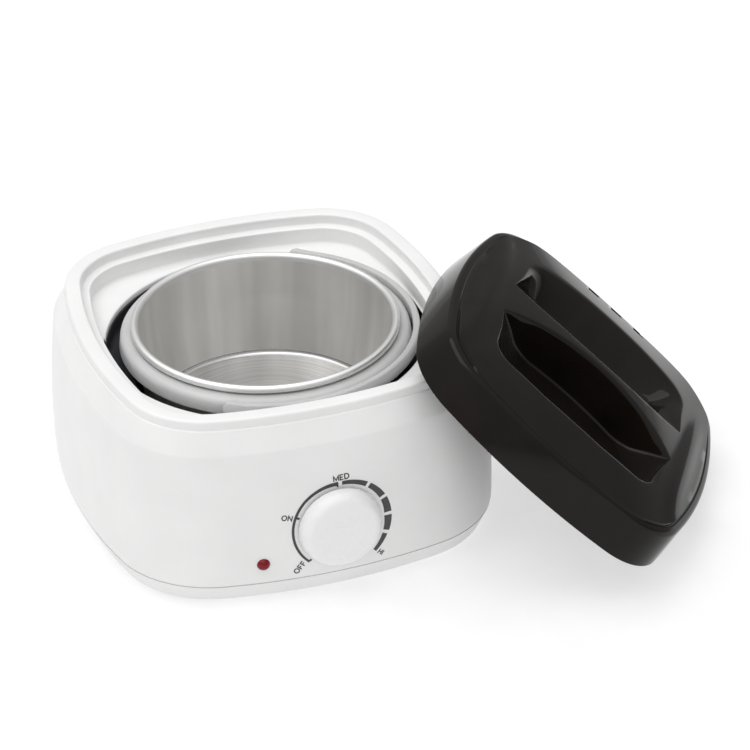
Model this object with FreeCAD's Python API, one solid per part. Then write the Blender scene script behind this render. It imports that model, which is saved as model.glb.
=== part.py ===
import FreeCAD, Part
import math
import os

# Wax heater: a square mains-heated base, a lift-out aluminium wax pot with a
# folding bail, and a loose lid that leans against the base's front right corner.
# Frame: millimetres, +Z up, the front with the control knob faces -Y, and the
# origin is the centre of the base at table level.

V = FreeCAD.Vector

# ---------------------------------------------------------------- base plan
# The plan curve is the inner edge of the rim; every other outline of the base
# and of the lid is that curve moved out or in by an outset.
plan_stretch = 3.0
side_radius = 200.0
corner_radius = 27.4

# ---------------------------------------------------------------- base heights
foot_height = 1.0
seam_z = 9.8
belly_z = 20.0
crease_z = 66.5
lip_bottom_z = 75.3
rim_z = 79.4

# ---------------------------------------------------------------- base outsets
pan_foot_outset = 10.1
seam_outset = 14.1
belly_outset = 14.3
crease_outset = 11.5
shoulder_top_outset = 6.9
rim_width = 6.3

# ---------------------------------------------------------------- fits
slim_gap = 0.1
through_fit = 0.15
tiny = 0.01

# ---------------------------------------------------------------- base shell
wall = 2.4
tub_wall = 1.8
rim_round = 1.2
rim_inner_break = 0.7
ledge_depth = 4.3
ledge_width = 3.5
deck_depth = 11.0
deck_wall = 2.2
hole_gap = 2.2
deck_margin = 1.0
side_steps = 4
seam_reveal_height = 0.5
seam_reveal_depth = 0.7
pan_edge_break = 1.0
tongue_height = 3.2
tongue_wall = 1.5
snap_clearance = 0.15
vent_slot_length = 26.0
vent_slot_width = 2.4
vent_slot_pitch = 8.0
vent_slot_y = 22.0
vent_slots_per_row = 7

# ---------------------------------------------------------------- screws, posts
column_inset = 0.5
column_radius = 4.0
pan_post_radius = 8.0
pan_post_height = 7.0
foot_radius = 6.5
foot_recess = 1.6
foot_fit = 0.15
screw_head_room = 0.3
screw_radius = 1.45
screw_clearance = 0.05
screw_head_radius = 2.9
screw_head_height = 1.8
screw_grip = 9.0
bowl_screw_reach = 6.0
bowl_boss_radius = 3.2
bowl_ear_radius = 4.0
bowl_screw_length = 6.5

# ---------------------------------------------------------------- wax pot
pot_radius = 50.0
pot_wall = 0.8
pot_rim_z = 75.0
pot_depth = 43.0
pot_corner = 6.0
bead_radius = 1.2
seat_gap = 0.1

# ---------------------------------------------------------------- pot collar
collar_fit = 0.15
collar_sleeve = 1.6
collar_reach = 7.6
collar_skirt = 1.6
collar_skirt_length = 6.6
collar_edge_drop = 0.9
collar_edge_break = 0.7
collar_flange = 2.0
collar_sleeve_length = 10.0

# ---------------------------------------------------------------- bail
bail_gap = 0.5
bail_width = 2.7
bail_height = 5.6
bail_drop = 3.8
bail_eye_radius = 3.4
bail_fold_angle = -30.0
pin_radius = 1.0
pin_running = 0.06
pin_fixed = 0.02
pin_boss_radius = 1.7
pin_sunk = 0.2

# ---------------------------------------------------------------- heater bowl
bowl_wall = 1.6
bowl_side_gap = 0.9
bowl_lip_drop = 0.2
bowl_lip_inset = 0.4
bowl_mouth_z = 59.8
bowl_throat_z = 54.0
bowl_corner = 7.0
bowl_flange_width = 3.4
bowl_flange_z = 60.0

# ---------------------------------------------------------------- heater parts
heater_bottom_z = 38.5
heater_top_z = 51.5
lead_bend = 4.3
mica_thickness = 1.6
strap_thickness = 0.6
strap_margin = 2.5
strap_ear_length = 10.5
strap_ear_half_gap = 1.5
strap_bolt_inset = 3.2
strap_bolt_half = 6.0
felt_gap = 0.3
felt_thickness = 3.0
band_half_gap = 6.0
band_split_at = 130.0
fuse_radius = 2.2
fuse_lead_radius = 0.5
fuse_lead = 9.0
fuse_length = 13.0
fuse_at_x = 20.0
fuse_clip_thickness = 0.8
fuse_clip_width = 5.0
fuse_clip_tab = 6.0

# ---------------------------------------------------------------- controls
knob_x = 1.5
knob_z = 30.6
knob_radius = 16.8
knob_face_radius = 15.3
knob_height = 5.8
knob_round = 2.2
knob_wall = 1.6
knob_hub_radius = 5.6
knob_gap = 0.4
shaft_radius = 3.0
shaft_flat = 1.6
shaft_fit = 0.05
shaft_sunk = 4.8
bush_radius = 4.6
bush_length = 6.2
nut_radius = 7.0
nut_height = 1.4
control_pad_radius = 10.0
control_pad_depth = 2.4
thermostat_size_x = 30.0
thermostat_size_y = 15.0
thermostat_size_z = 22.0
thermostat_tab_half = 2.4
thermostat_tab_length = 2.4
thermostat_tab_drop = 1.6

# ---------------------------------------------------------------- indicator
led_x = -28.7
led_z = 18.3
led_radius = 2.7
led_fit = 0.05
led_flange_radius = 3.5
led_flange = 1.0
led_length = 4.9
led_wall_set = 2.6
led_leg = 3.6
board_width = 18.0
board_top_margin = 5.0
board_thickness = 1.6
board_rail = 2.4
board_rail_height = 12.0
resistor_radius = 1.35
resistor_half = 2.7
resistor_proud = 0.9

# ---------------------------------------------------------------- mains inlet
inlet_z = 24.0
inlet_width = 23.0
inlet_height = 13.5
inlet_body_depth = 17.0
inlet_flange = 1.6
inlet_flange_margin = 1.6
inlet_mouth_half = 4.3
inlet_mouth_radius = 4.4
inlet_waist_half = 2.7
inlet_mouth_depth = 11.0
inlet_pin_radius = 1.2
inlet_pin_inset = 2.0
inlet_tab = 6.0

# ---------------------------------------------------------------- terminal block
block_x = 34.0
block_from_rear = 40.8
block_length = 22.0
block_width = 14.0
block_height = 11.0
block_ways = 3
block_screw_radius = 1.9
block_mouth_radius = 2.05
block_mouth_depth = 3.0
block_rib = 1.2
block_rib_height = 3.0

# ---------------------------------------------------------------- leads
lead_radius = 1.0
lead_straight = 3.0
lead_behind_inlet = 6.0
lead_stagger = 2.0

# ---------------------------------------------------------------- lid
lid_clearance = 0.5
lid_wall = 2.2
lid_side_height = 17.0
lid_side_draft = 2.1
lid_edge_width = 4.2
lid_edge_rise = 0.8
lid_crown = 9.0
crown_margin = 0.3
grip_half_length = 44.0
grip_end_half_width = 12.0
grip_middle_half_width = 2.5
pocket_half_y = 44.5
pocket_floor = 9.0
pocket_corner = 12.0
pocket_half_x = 42.0
pocket_flat_x = 22.0
pocket_bend_x = 30.0
pocket_bend_height = 12.0
pocket_tip_height = 23.0
drip_ring_wall = 1.6
drip_ring_low = 4.6
vent_at_x = 1.2
vent_length = 5.3
vent_pitch = 12.3
vent_depth = 4.5
vent_height = 1.6
vent_rise = 0.5

# The lid's leaning pose: turned, tipped and rolled, set beside the base's
# corner, then slid up to it until the drip ring meets the rim.
lid_turn = -36.5
lid_tip = 40.2
lid_roll = -8.0
lid_beside = 33.5
lid_forward = 15.2
lean_gap = 0.35
lean_start = 12.0
lean_steps = 12
lean_edge_points = 200

# ---------------------------------------------------------------- derived
collar_radius = pot_radius + collar_reach
bail_inner = collar_radius + bail_gap
bail_outer = bail_inner + bail_width
hole_radius = bail_outer + hole_gap
plan_half_x = hole_radius + deck_margin + ledge_width
plan_half_y = plan_half_x + plan_stretch
bowl_screw_circle = hole_radius + bowl_screw_reach
ledge_z = rim_z - ledge_depth
deck_z = rim_z - deck_depth
deck_under_z = deck_z - deck_wall
pan_floor_z = foot_height + wall
front_y = -(plan_half_y + belly_outset)
pot_outer = pot_radius + pot_wall
pot_floor_z = pot_rim_z - pot_depth
bead_z = pot_rim_z - bead_radius
bead_ring = pot_radius + bead_radius
bowl_inner = pot_outer + bowl_side_gap
bowl_outer = bowl_inner + bowl_wall
bowl_floor_z = pot_floor_z - pot_wall - seat_gap
bowl_under_z = bowl_floor_z - bowl_wall
bail_z = bead_z - bail_drop
collar_inner = pot_outer + collar_fit
collar_top_z = bead_z - bead_radius
back_y = -front_y
block_y = back_y - block_from_rear
collar_bottom_z = collar_top_z - collar_skirt_length
screw_seat_z = foot_height + foot_recess + screw_head_room + screw_head_height
mica_inner = bowl_outer + slim_gap
mica_outer = mica_inner + mica_thickness
strap_inner = mica_outer + slim_gap
strap_outer = strap_inner + strap_thickness
fuse_z = bowl_under_z - fuse_radius - slim_gap
control_seat_y = front_y + wall + control_pad_depth
knob_back_y = front_y - knob_gap
knob_face_y = knob_back_y - knob_height
knob_hub_y = control_seat_y - bush_length - knob_gap
led_flange_y = front_y + led_wall_set + wall
led_back_y = led_flange_y + led_flange + led_leg
lead_z = pan_floor_z + block_height / 2
lid_outset = -lid_clearance
pivots = (bail_fold_angle + 90, bail_fold_angle - 90)


def corner_centre():
    """Centre of the plan's corner arcs, which meet both side arcs tangentially."""
    ax = plan_half_x - side_radius
    by = plan_half_y - side_radius
    reach = side_radius - corner_radius
    span = math.hypot(ax, by)
    rise = math.sqrt(reach * reach - span * span / 4)
    return V(ax / 2 - rise * by / span, by / 2 - rise * ax / span, 0)


corner = corner_centre()


def plan_wire(outset, z):
    """The plan curve moved out by an outset, at a height."""
    side_x = plan_half_x - side_radius
    side_y = plan_half_y - side_radius
    turn = math.atan2(corner.y, corner.x - side_x)
    rest = math.atan2(corner.y - side_y, corner.x)
    quarter = [
        (V(side_x, 0, 0), side_radius + outset, -turn, turn),
        (corner, corner_radius + outset, turn, rest),
        (V(0, side_y, 0), side_radius + outset, rest, math.pi - rest),
        (V(-corner.x, corner.y, 0), corner_radius + outset, math.pi - rest, math.pi - turn),
    ]
    edges = []
    for half in (0, math.pi):
        spin = FreeCAD.Rotation(V(0, 0, 1), math.degrees(half))
        for centre, radius, start, end in quarter:
            points = []
            for angle in (start, (start + end) / 2, end):
                local = centre + V(math.cos(angle), math.sin(angle), 0) * radius
                points.append(spin.multVec(local) + V(0, 0, z))
            edges.append(Part.Arc(*points).toShape())
    return Part.Wire(Part.__sortEdges__(edges))


def plan_loft(sections, smooth=False):
    """Solid through (z, outset) sections of the plan curve."""
    wires = [plan_wire(outset, z) for z, outset in sections]
    return Part.makeLoft(wires, True, not smooth)


def plan_prism(outset, low, high):
    """Straight-sided solid with the plan's outline."""
    return Part.Face(plan_wire(outset, low)).extrude(V(0, 0, high - low))


def box(low, high):
    """Box between two corners."""
    size = high - low
    return Part.makeBox(size.x, size.y, size.z, low)


def cylinder(radius, low, high, x=0.0, y=0.0):
    """Upright cylinder between two heights."""
    return Part.makeCylinder(radius, high - low, V(x, y, low))


def cylinder_y(radius, near, far, x=0.0, z=0.0):
    """Cylinder along Y between two Y positions."""
    return Part.makeCylinder(radius, far - near, V(x, near, z), V(0, 1, 0))


def revolved(path):
    """Solid of revolution about Z from (radius, z) points; a triple adds an arc's middle."""
    edges = []
    start = V(path[0][0], 0, path[0][1])
    first = start
    for step in path[1:]:
        end = V(step[0], 0, step[1])
        if len(step) == 4:
            middle = V(step[2], 0, step[3])
            edges.append(Part.Arc(start, middle, end).toShape())
        else:
            edges.append(Part.LineSegment(start, end).toShape())
        start = end
    edges.append(Part.LineSegment(start, first).toShape())
    face = Part.Face(Part.Wire(edges))
    return face.revolve(V(0, 0, 0), V(0, 0, 1), 360)


def round_corner(radius, centre_r, centre_z, start, end):
    """Arc step for revolved(): from angle start to end about a centre."""
    middle = math.radians((start + end) / 2)
    last = math.radians(end)
    return (
        centre_r + radius * math.cos(last),
        centre_z + radius * math.sin(last),
        centre_r + radius * math.cos(middle),
        centre_z + radius * math.sin(middle),
    )


def facing_front(shape, x, y, z):
    """Turns a shape made along +Z so that it points at -Y, and places it."""
    turned = shape.copy()
    turned.rotate(V(0, 0, 0), V(1, 0, 0), 90)
    turned.translate(V(x, y, z))
    return turned


def ring_sector(inner, outer, low, high, start, sweep):
    """Upright ring between two radii, over part of a turn."""
    tool = Part.makeCylinder(outer, high - low, V(0, 0, low), V(0, 0, 1), sweep)
    tool = tool.cut(cylinder(inner, low - 1, high + 1))
    tool.rotate(V(0, 0, 0), V(0, 0, 1), start)
    return tool


def polar(radius, angle, z=0.0):
    """Point at a radius and an angle in degrees."""
    turn = math.radians(angle)
    return V(radius * math.cos(turn), radius * math.sin(turn), z)


def column_places():
    """Centres of the four screw columns, on the corners' diagonals."""
    reach = (corner_radius - column_inset) / math.sqrt(2)
    return [
        V(sx * (corner.x + reach), sy * (corner.y + reach), 0)
        for sx in (-1, 1)
        for sy in (-1, 1)
    ]


def bowl_screw_places():
    """Centres of the four screws that hang the heater bowl under the deck."""
    return [polar(bowl_screw_circle, 45 + 90 * turn) for turn in range(4)]


def belly(z):
    """Outset of the base's side wall at a height."""
    if z < belly_z:
        share = (belly_z - z) / (belly_z - seam_z)
        return belly_outset - (belly_outset - seam_outset) * share ** 2
    share = (z - belly_z) / (crease_z - belly_z)
    return belly_outset - (belly_outset - crease_outset) * share ** 2


def side_heights():
    """Heights at which the side wall is drawn."""
    rise = (crease_z - belly_z) / side_steps
    upper = [belly_z + rise * i for i in range(side_steps + 1)]
    return [seam_z] + upper


def housing_outside():
    """Outer body of the housing, before it is hollowed."""
    side = plan_loft([(z, belly(z)) for z in side_heights()], smooth=True)
    shoulder = plan_loft([(crease_z, crease_outset), (lip_bottom_z, shoulder_top_outset)])
    lip = plan_prism(rim_width, lip_bottom_z, rim_z)
    top_edges = [e for e in lip.Edges if e.BoundBox.ZMin > rim_z - rim_round]
    lip = lip.makeFillet(rim_round, top_edges)
    return side.fuse([shoulder, lip])


def housing_inside():
    """Hollow of the housing's outer skin."""
    side = plan_loft([(z, belly(z) - wall) for z in side_heights()], smooth=True)
    shoulder = plan_loft(
        [(crease_z, crease_outset - wall), (lip_bottom_z - wall / 2, rim_width - wall)]
    )
    channel = plan_prism(rim_width - wall, lip_bottom_z - wall / 2, rim_z - wall)
    return side.fuse([shoulder, channel])


def tub():
    """Outer form of the stepped recess: upper wall, ledge and lower wall."""
    upper = plan_prism(tub_wall, ledge_z - tub_wall, rim_z - wall / 2)
    lower = plan_prism(tub_wall - ledge_width, deck_under_z, ledge_z)
    return upper.fuse(lower)


def tub_hollow():
    """The space inside the recess's walls, with the deck's own place."""
    upper = plan_prism(0, ledge_z, rim_z)
    edge_break = plan_loft([(rim_z - rim_inner_break, 0), (rim_z, rim_inner_break)])
    lower = plan_prism(-ledge_width, deck_under_z, ledge_z)
    return upper.fuse([edge_break, lower])


def control_pad():
    """Flat seat for the thermostat inside the front wall."""
    inner_face = front_y + wall + control_pad_depth
    return cylinder_y(control_pad_radius, front_y + wall / 2, inner_face, knob_x, knob_z)


def inlet_window(clearance):
    """Opening in the rear wall for the mains inlet's body."""
    half_w = inlet_width / 2 + clearance
    half_h = inlet_height / 2 + clearance
    near = back_y - inlet_body_depth
    return box(V(-half_w, near, inlet_z - half_h), V(half_w, back_y + wall, inlet_z + half_h))


def housing_shell():
    """White upper shell: side wall, shoulder, rim, recess walls and screw columns."""
    skin = housing_outside().cut(housing_inside())
    columns = [
        cylinder(column_radius, pan_post_height + foot_height, deck_under_z + 1, p.x, p.y)
        for p in column_places()
    ]
    body = skin.fuse([tub(), control_pad()] + columns)
    far = control_seat_y + wall
    drilled = [tub_hollow(), inlet_window(snap_clearance)]
    drilled.append(cylinder_y(bush_radius + screw_clearance, front_y - wall, far, knob_x, knob_z))
    drilled.append(cylinder_y(led_radius + led_fit, front_y - wall, far, led_x, led_z))
    screw_hole = screw_radius + screw_clearance
    for p in column_places():
        top = foot_height + pan_post_height + screw_grip + 1
        drilled.append(cylinder(screw_hole, 0, top, p.x, p.y))
    return body.cut(drilled)


def housing_deck():
    """The recess's flat deck, with the pot's hole and four bosses for the bowl.

    The deck and the shell are one moulding, drawn as two simple solids that
    meet face to face along the recess's lower wall.
    """
    deck = plan_prism(-ledge_width, deck_under_z, deck_z)
    bosses = [
        cylinder(bowl_boss_radius, bowl_flange_z, deck_under_z + deck_wall / 2, p.x, p.y)
        for p in bowl_screw_places()
    ]
    drilled = [cylinder(hole_radius, deck_under_z - 1, deck_z + 1)]
    for p in bowl_screw_places():
        top = bowl_flange_z + bowl_screw_length
        drilled.append(cylinder(screw_radius + screw_clearance, bowl_flange_z - 1, top, p.x, p.y))
    return deck.fuse(bosses).cut(drilled)


def pan_outside():
    """Outer body of the pan, with the shadow line under the housing."""
    taper = (seam_outset - pan_foot_outset) / (seam_z - foot_height)
    low_z = foot_height + pan_edge_break
    top_z = seam_z - seam_reveal_height
    heights = [
        (foot_height, pan_foot_outset - pan_edge_break),
        (low_z, pan_foot_outset + taper * pan_edge_break),
        (top_z, seam_outset - taper * seam_reveal_height),
    ]
    reveal = plan_prism(seam_outset - seam_reveal_depth, top_z, seam_z)
    return plan_loft(heights).fuse(reveal)


def pan_tongue():
    """Ring that locates the pan inside the housing's side wall."""
    outset = seam_outset - wall - snap_clearance
    return plan_prism(outset, seam_z - wall, seam_z + tongue_height)


def pan_hollow():
    """Space inside the pan's wall and tongue."""
    tongue_inner = seam_outset - wall - snap_clearance - tongue_wall
    return plan_loft(
        [(pan_floor_z, pan_foot_outset - wall), (seam_z + tongue_height, tongue_inner)]
    )


def vent_slots():
    """Two rows of cooling slots in the pan floor."""
    slots = []
    for row in (-1, 1):
        for i in range(vent_slots_per_row):
            x = (i - (vent_slots_per_row - 1) / 2) * vent_slot_pitch
            near = V(x - vent_slot_width / 2, row * vent_slot_y - vent_slot_length / 2, 0)
            slots.append(box(near, near + V(vent_slot_width, vent_slot_length, pan_floor_z + 1)))
    return slots


def board_slot(clearance):
    """The space of the indicator's circuit board."""
    half = board_width / 2 + clearance
    low = V(led_x - half, led_back_y - clearance, pan_floor_z)
    high = V(led_x + half, led_back_y + board_thickness + clearance, led_z + board_top_margin)
    return box(low, high)


def board_rails():
    """Two posts on the pan floor that hold the board by its edges."""
    rails = []
    for side in (-1, 1):
        x = led_x + side * board_width / 2
        low = V(x - board_rail, led_back_y - board_rail, foot_height + wall / 2)
        high = V(x + board_rail, led_back_y + board_thickness + board_rail, pan_floor_z)
        rails.append(box(low, high + V(0, 0, board_rail_height)))
    return rails


def block_ribs():
    """Low frame on the pan floor round the terminal block."""
    half = V(block_length / 2 + snap_clearance, block_width / 2 + snap_clearance, 0)
    middle = V(block_x, block_y, 0)
    rim = V(block_rib, block_rib, 0)
    low = middle - half
    high = middle + half
    top = V(0, 0, pan_floor_z + block_rib_height)
    outer = box(low - rim + V(0, 0, foot_height + wall / 2), high + rim + top)
    return outer.cut(box(low + V(0, 0, pan_floor_z), high + top))


def base_pan():
    """White lower pan: side, floor, locating tongue, screw posts and board rails."""
    body = pan_outside().fuse(pan_tongue()).cut(pan_hollow())
    post_top = foot_height + pan_post_height
    posts = [
        cylinder(pan_post_radius, foot_height + wall / 2, post_top, p.x, p.y)
        for p in column_places()
    ]
    body = body.fuse(posts + board_rails() + [block_ribs()])
    drilled = vent_slots() + [board_slot(snap_clearance)]
    for p in column_places():
        recess_top = foot_height + foot_recess
        drilled.append(cylinder(foot_radius + foot_fit, 0, recess_top, p.x, p.y))
        drilled.append(cylinder(screw_head_radius + screw_head_room, 0, screw_seat_z, p.x, p.y))
        drilled.append(cylinder(screw_radius + through_fit, 0, post_top + 1, p.x, p.y))
    return body.cut(drilled)


def rubber_feet():
    """Four round feet pressed into the pan's corners."""
    foot = cylinder(foot_radius, 0, foot_height + foot_recess)
    edge = [e for e in foot.Edges if e.BoundBox.ZMax < foot_height / 2]
    foot = foot.makeFillet(foot_height / 2, edge)
    return Part.Compound([foot.translated(p) for p in column_places()])


def screw(length):
    """Pan-head screw pointing up, its head's seat at z = 0."""
    head = cylinder(screw_head_radius, -screw_head_height, 0)
    top = [e for e in head.Edges if e.BoundBox.ZMax < -screw_head_height / 2]
    head = head.makeFillet(screw_head_height / 3, top)
    slot_half = screw_head_radius / 2
    slot_depth = screw_head_height / 2
    narrow = slot_depth / 3
    low = V(-slot_half, -narrow, -screw_head_height)
    high = V(slot_half, narrow, -slot_depth)
    cross = box(low, high)
    turned = cross.copy()
    turned.rotate(V(0, 0, 0), V(0, 0, 1), 90)
    tip = screw_radius / 2
    shank = cylinder(screw_radius, 0, length - tip)
    point = Part.makeCone(screw_radius, tip, tip, V(0, 0, length - tip))
    return head.cut([cross, turned]).fuse([shank, point])


def pan_screws():
    """Four screws from under the feet into the housing's columns."""
    length = foot_height + pan_post_height + screw_grip - screw_seat_z
    place = V(0, 0, screw_seat_z)
    return Part.Compound([screw(length).translated(p + place) for p in column_places()])


def heater_bowl():
    """Pressed aluminium bowl that carries the pot and drives heat into it."""
    lip = hole_radius - bowl_lip_inset
    lip_top = deck_under_z - bowl_lip_drop
    run = lip - bowl_inner
    rise = bowl_mouth_z - bowl_throat_z
    slope = rise / run
    drop = bowl_wall * math.hypot(run, rise) / run
    throat_under = bowl_throat_z + slope * bowl_wall - drop
    flange_under = bowl_flange_z - bowl_wall
    meet = bowl_outer + (flange_under - throat_under) / slope
    floor_r = bowl_inner - bowl_corner
    corner_z = bowl_floor_z + bowl_corner
    body = revolved([
        (0, bowl_floor_z),
        (floor_r, bowl_floor_z),
        round_corner(bowl_corner, floor_r, corner_z, -90, 0),
        (bowl_inner, bowl_throat_z),
        (lip, bowl_mouth_z),
        (lip, lip_top),
        (lip + bowl_wall, lip_top),
        (lip + bowl_wall, bowl_flange_z),
        (lip + bowl_wall + bowl_flange_width, bowl_flange_z),
        (lip + bowl_wall + bowl_flange_width, flange_under),
        (meet, flange_under),
        (bowl_outer, throat_under),
        (bowl_outer, corner_z),
        round_corner(bowl_corner + bowl_wall, floor_r, corner_z, 0, -90),
        (0, bowl_under_z),
    ])
    ears = [
        cylinder(bowl_ear_radius, flange_under, bowl_flange_z, p.x, p.y)
        for p in bowl_screw_places()
    ]
    holes = [
        cylinder(screw_radius + through_fit, flange_under - 1, bowl_flange_z + 1, p.x, p.y)
        for p in bowl_screw_places()
    ]
    return body.fuse(ears).cut(holes)


def bowl_screws():
    """Four screws up through the bowl's ears."""
    place = V(0, 0, bowl_flange_z - bowl_wall)
    length = bowl_screw_length + bowl_wall - screw_clearance
    return Part.Compound([screw(length).translated(p + place) for p in bowl_screw_places()])


def split_ring(inner, outer, low, high, half_gap):
    """Upright ring with a gap at +X."""
    ring = cylinder(outer, low, high).cut(cylinder(inner, low - 1, high + 1))
    return ring.cut(box(V(0, -half_gap, low - 1), V(outer + 1, half_gap, high + 1)))


def at_split(shape):
    """Turns a shape made at +X to the heater's split."""
    shape.rotate(V(0, 0, 0), V(0, 0, 1), band_split_at)
    return shape


def band_heater():
    """Mica band wrapped round the bowl's wall."""
    ring = split_ring(mica_inner, mica_outer, heater_bottom_z, heater_top_z, band_half_gap)
    return at_split(ring)


def strap_ears(outer):
    """Two ears of the strap, either side of its gap."""
    low_z = heater_bottom_z + strap_margin
    high_z = heater_top_z - strap_margin
    ears = []
    for side in (-1, 1):
        near = side * strap_ear_half_gap
        far = side * (strap_ear_half_gap + strap_thickness)
        low = V(strap_inner, min(near, far), low_z)
        ears.append(box(low, V(outer, max(near, far), high_z)))
    return ears


def strap_bolt_axis():
    """Middle of the strap's bolt, before it is turned to the split."""
    x = strap_outer + strap_ear_length - strap_bolt_inset
    return V(x, 0, (heater_bottom_z + heater_top_z) / 2)


def heater_strap():
    """Steel strap that clamps the band, with two drilled ears."""
    low_z = heater_bottom_z + strap_margin
    high_z = heater_top_z - strap_margin
    ring = split_ring(strap_inner, strap_outer, low_z, high_z, strap_ear_half_gap)
    body = ring.fuse(strap_ears(strap_outer + strap_ear_length))
    at = strap_bolt_axis()
    hole = cylinder_y(screw_radius + through_fit, -strap_bolt_half, strap_bolt_half, at.x, at.z)
    return at_split(body.cut(hole))


def strap_bolt():
    """Screw and nut that draw the strap's ears together."""
    at = strap_bolt_axis()
    seat = strap_ear_half_gap + strap_thickness
    bolt = screw(strap_bolt_half + seat)
    bolt.rotate(V(0, 0, 0), V(1, 0, 0), -90)
    bolt.translate(V(at.x, -seat, at.z))
    nut = Part.Face(hexagon(screw_head_radius, seat)).extrude(V(0, screw_head_height, 0))
    nut.translate(V(at.x, 0, at.z))
    return at_split(bolt.fuse(nut))


def hexagon(radius, y):
    """Hexagon about the Y axis at a Y position."""
    points = []
    for i in range(7):
        turn = math.radians(60 * i)
        points.append(V(radius * math.cos(turn), y, radius * math.sin(turn)))
    return Part.makePolygon(points)


def insulation_sleeve():
    """Felt wrap round the band heater, open at the strap's ears."""
    inner = strap_outer + felt_gap
    ring = split_ring(inner, inner + felt_thickness, heater_bottom_z, heater_top_z, band_half_gap)
    return at_split(ring)


def cylinder_x(radius, near, far, y, z):
    """Cylinder along X between two X positions."""
    return Part.makeCylinder(radius, far - near, V(near, y, z), V(1, 0, 0))


def thermal_fuse():
    """Axial fuse under the bowl's floor, with its two leads."""
    half = fuse_length / 2
    can = cylinder_x(fuse_radius, fuse_at_x - half, fuse_at_x + half, 0, fuse_z)
    reach = half + fuse_lead
    wire = cylinder_x(fuse_lead_radius, fuse_at_x - reach, fuse_at_x + reach, 0, fuse_z)
    return can.fuse(wire)


def fuse_clip():
    """Spring strip that presses the fuse against the bowl's floor."""
    inner = fuse_radius + slim_gap
    outer = inner + fuse_clip_thickness
    near = fuse_at_x - fuse_clip_width / 2
    far = fuse_at_x + fuse_clip_width / 2
    shape = cylinder_x(outer, near, far, 0, fuse_z)
    shape = shape.fuse(box(V(near, -outer, fuse_z), V(far, outer, bowl_under_z)))
    low_z = bowl_under_z - fuse_clip_thickness
    reach = outer + fuse_clip_tab
    shape = shape.fuse(box(V(near, -reach, low_z), V(far, reach, bowl_under_z)))
    shape = shape.common(box(V(near, -reach, 0), V(far, reach, bowl_under_z)))
    channel = cylinder_x(inner, near - 1, far + 1, 0, fuse_z)
    channel = channel.fuse(box(V(near - 1, -inner, fuse_z), V(far + 1, inner, bowl_under_z + 1)))
    return shape.cut(channel)


def thermostat_body():
    """Capillary thermostat: body, threaded bush and three rear tabs."""
    half_x = thermostat_size_x / 2
    half_z = thermostat_size_z / 2
    low = V(knob_x - half_x, control_seat_y, knob_z - half_z)
    high = V(knob_x + half_x, control_seat_y + thermostat_size_y, knob_z + half_z)
    body = box(low, high)
    bush = cylinder_y(bush_radius, control_seat_y - bush_length, control_seat_y, knob_x, knob_z)
    tabs = []
    for i in (-1, 0, 1):
        x = knob_x + i * half_x / 2
        tab = box(
            V(x - thermostat_tab_half, high.y, knob_z - thermostat_tab_drop),
            V(
                x + thermostat_tab_half,
                high.y + thermostat_tab_length,
                knob_z - thermostat_tab_drop / 2,
            ),
        )
        tabs.append(tab)
    bore = cylinder_y(
        shaft_radius + shaft_fit, low.y - bush_length - 1, low.y + shaft_sunk + wall, knob_x, knob_z
    )
    return body.fuse([bush] + tabs).cut(bore)


def thermostat_shaft():
    """Turning shaft with a flat for the knob."""
    end = control_seat_y + shaft_sunk
    tip = knob_face_y + knob_wall + slim_gap
    shaft = cylinder_y(shaft_radius, tip, end, knob_x, knob_z)
    return shaft.cut(shaft_flat_box(tip - 1, knob_hub_y))


def shaft_flat_box(near, far):
    """Material beyond the shaft's flat between two Y positions."""
    low = V(knob_x - shaft_radius - 1, near, knob_z + shaft_flat)
    high = V(knob_x + shaft_radius + 1, far, knob_z + shaft_radius + 1)
    return box(low, high)


def thermostat_nut():
    """Hexagon nut that clamps the thermostat's bush to the front wall."""
    outer = Part.Face(hexagon(nut_radius, front_y - nut_height)).extrude(V(0, nut_height, 0))
    outer.translate(V(knob_x, 0, knob_z))
    bore = cylinder_y(bush_radius, front_y - nut_height - 1, front_y + 1, knob_x, knob_z)
    return outer.cut(bore)


def control_knob():
    """White tapered knob, hollow behind, with a keyed hub."""
    inner = knob_radius - knob_wall
    floor = knob_height - knob_wall
    body = Part.makeCone(knob_radius, knob_face_radius, knob_height)
    edge = [e for e in body.Edges if e.BoundBox.ZMin > knob_height / 2 and e.Length > knob_radius]
    body = body.makeFillet(knob_round, [e for e in edge if e.BoundBox.ZMax > knob_height - tiny])
    hollow = Part.makeCone(inner, knob_face_radius - knob_wall, floor)
    hub = cylinder(knob_hub_radius, knob_back_y - knob_hub_y, floor + knob_wall / 2)
    body = facing_front(body.cut(hollow).fuse(hub), knob_x, knob_back_y, knob_z)
    bore = cylinder_y(
        shaft_radius + pin_fixed, knob_face_y + knob_wall, knob_back_y + 1, knob_x, knob_z
    )
    key = shaft_flat_box(knob_face_y + knob_wall - 1, knob_back_y + 1)
    key.translate(V(0, 0, pin_fixed))
    return body.cut(bore.cut(key))


def led_lens():
    """Red indicator lens with a dome in front and a flange behind the wall."""
    nose_y = led_flange_y - led_length
    dome = Part.makeSphere(led_radius, V(led_x, nose_y + led_radius, led_z))
    flange = cylinder_y(
        led_flange_radius, led_flange_y, led_flange_y + led_flange, led_x, led_z
    )
    front = cylinder_y(led_radius, nose_y, nose_y + led_radius, led_x, led_z)
    body = cylinder_y(led_radius, nose_y + led_radius, led_back_y, led_x, led_z)
    return body.fuse([dome.common(front), flange])


def led_board():
    """Small circuit board that carries the indicator, with its resistor."""
    board = board_slot(0)
    resistor = cylinder_x(
        resistor_radius,
        led_x - resistor_half,
        led_x + resistor_half,
        led_back_y + board_thickness + resistor_proud,
        led_z - board_top_margin,
    )
    return board.fuse(resistor)


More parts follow.
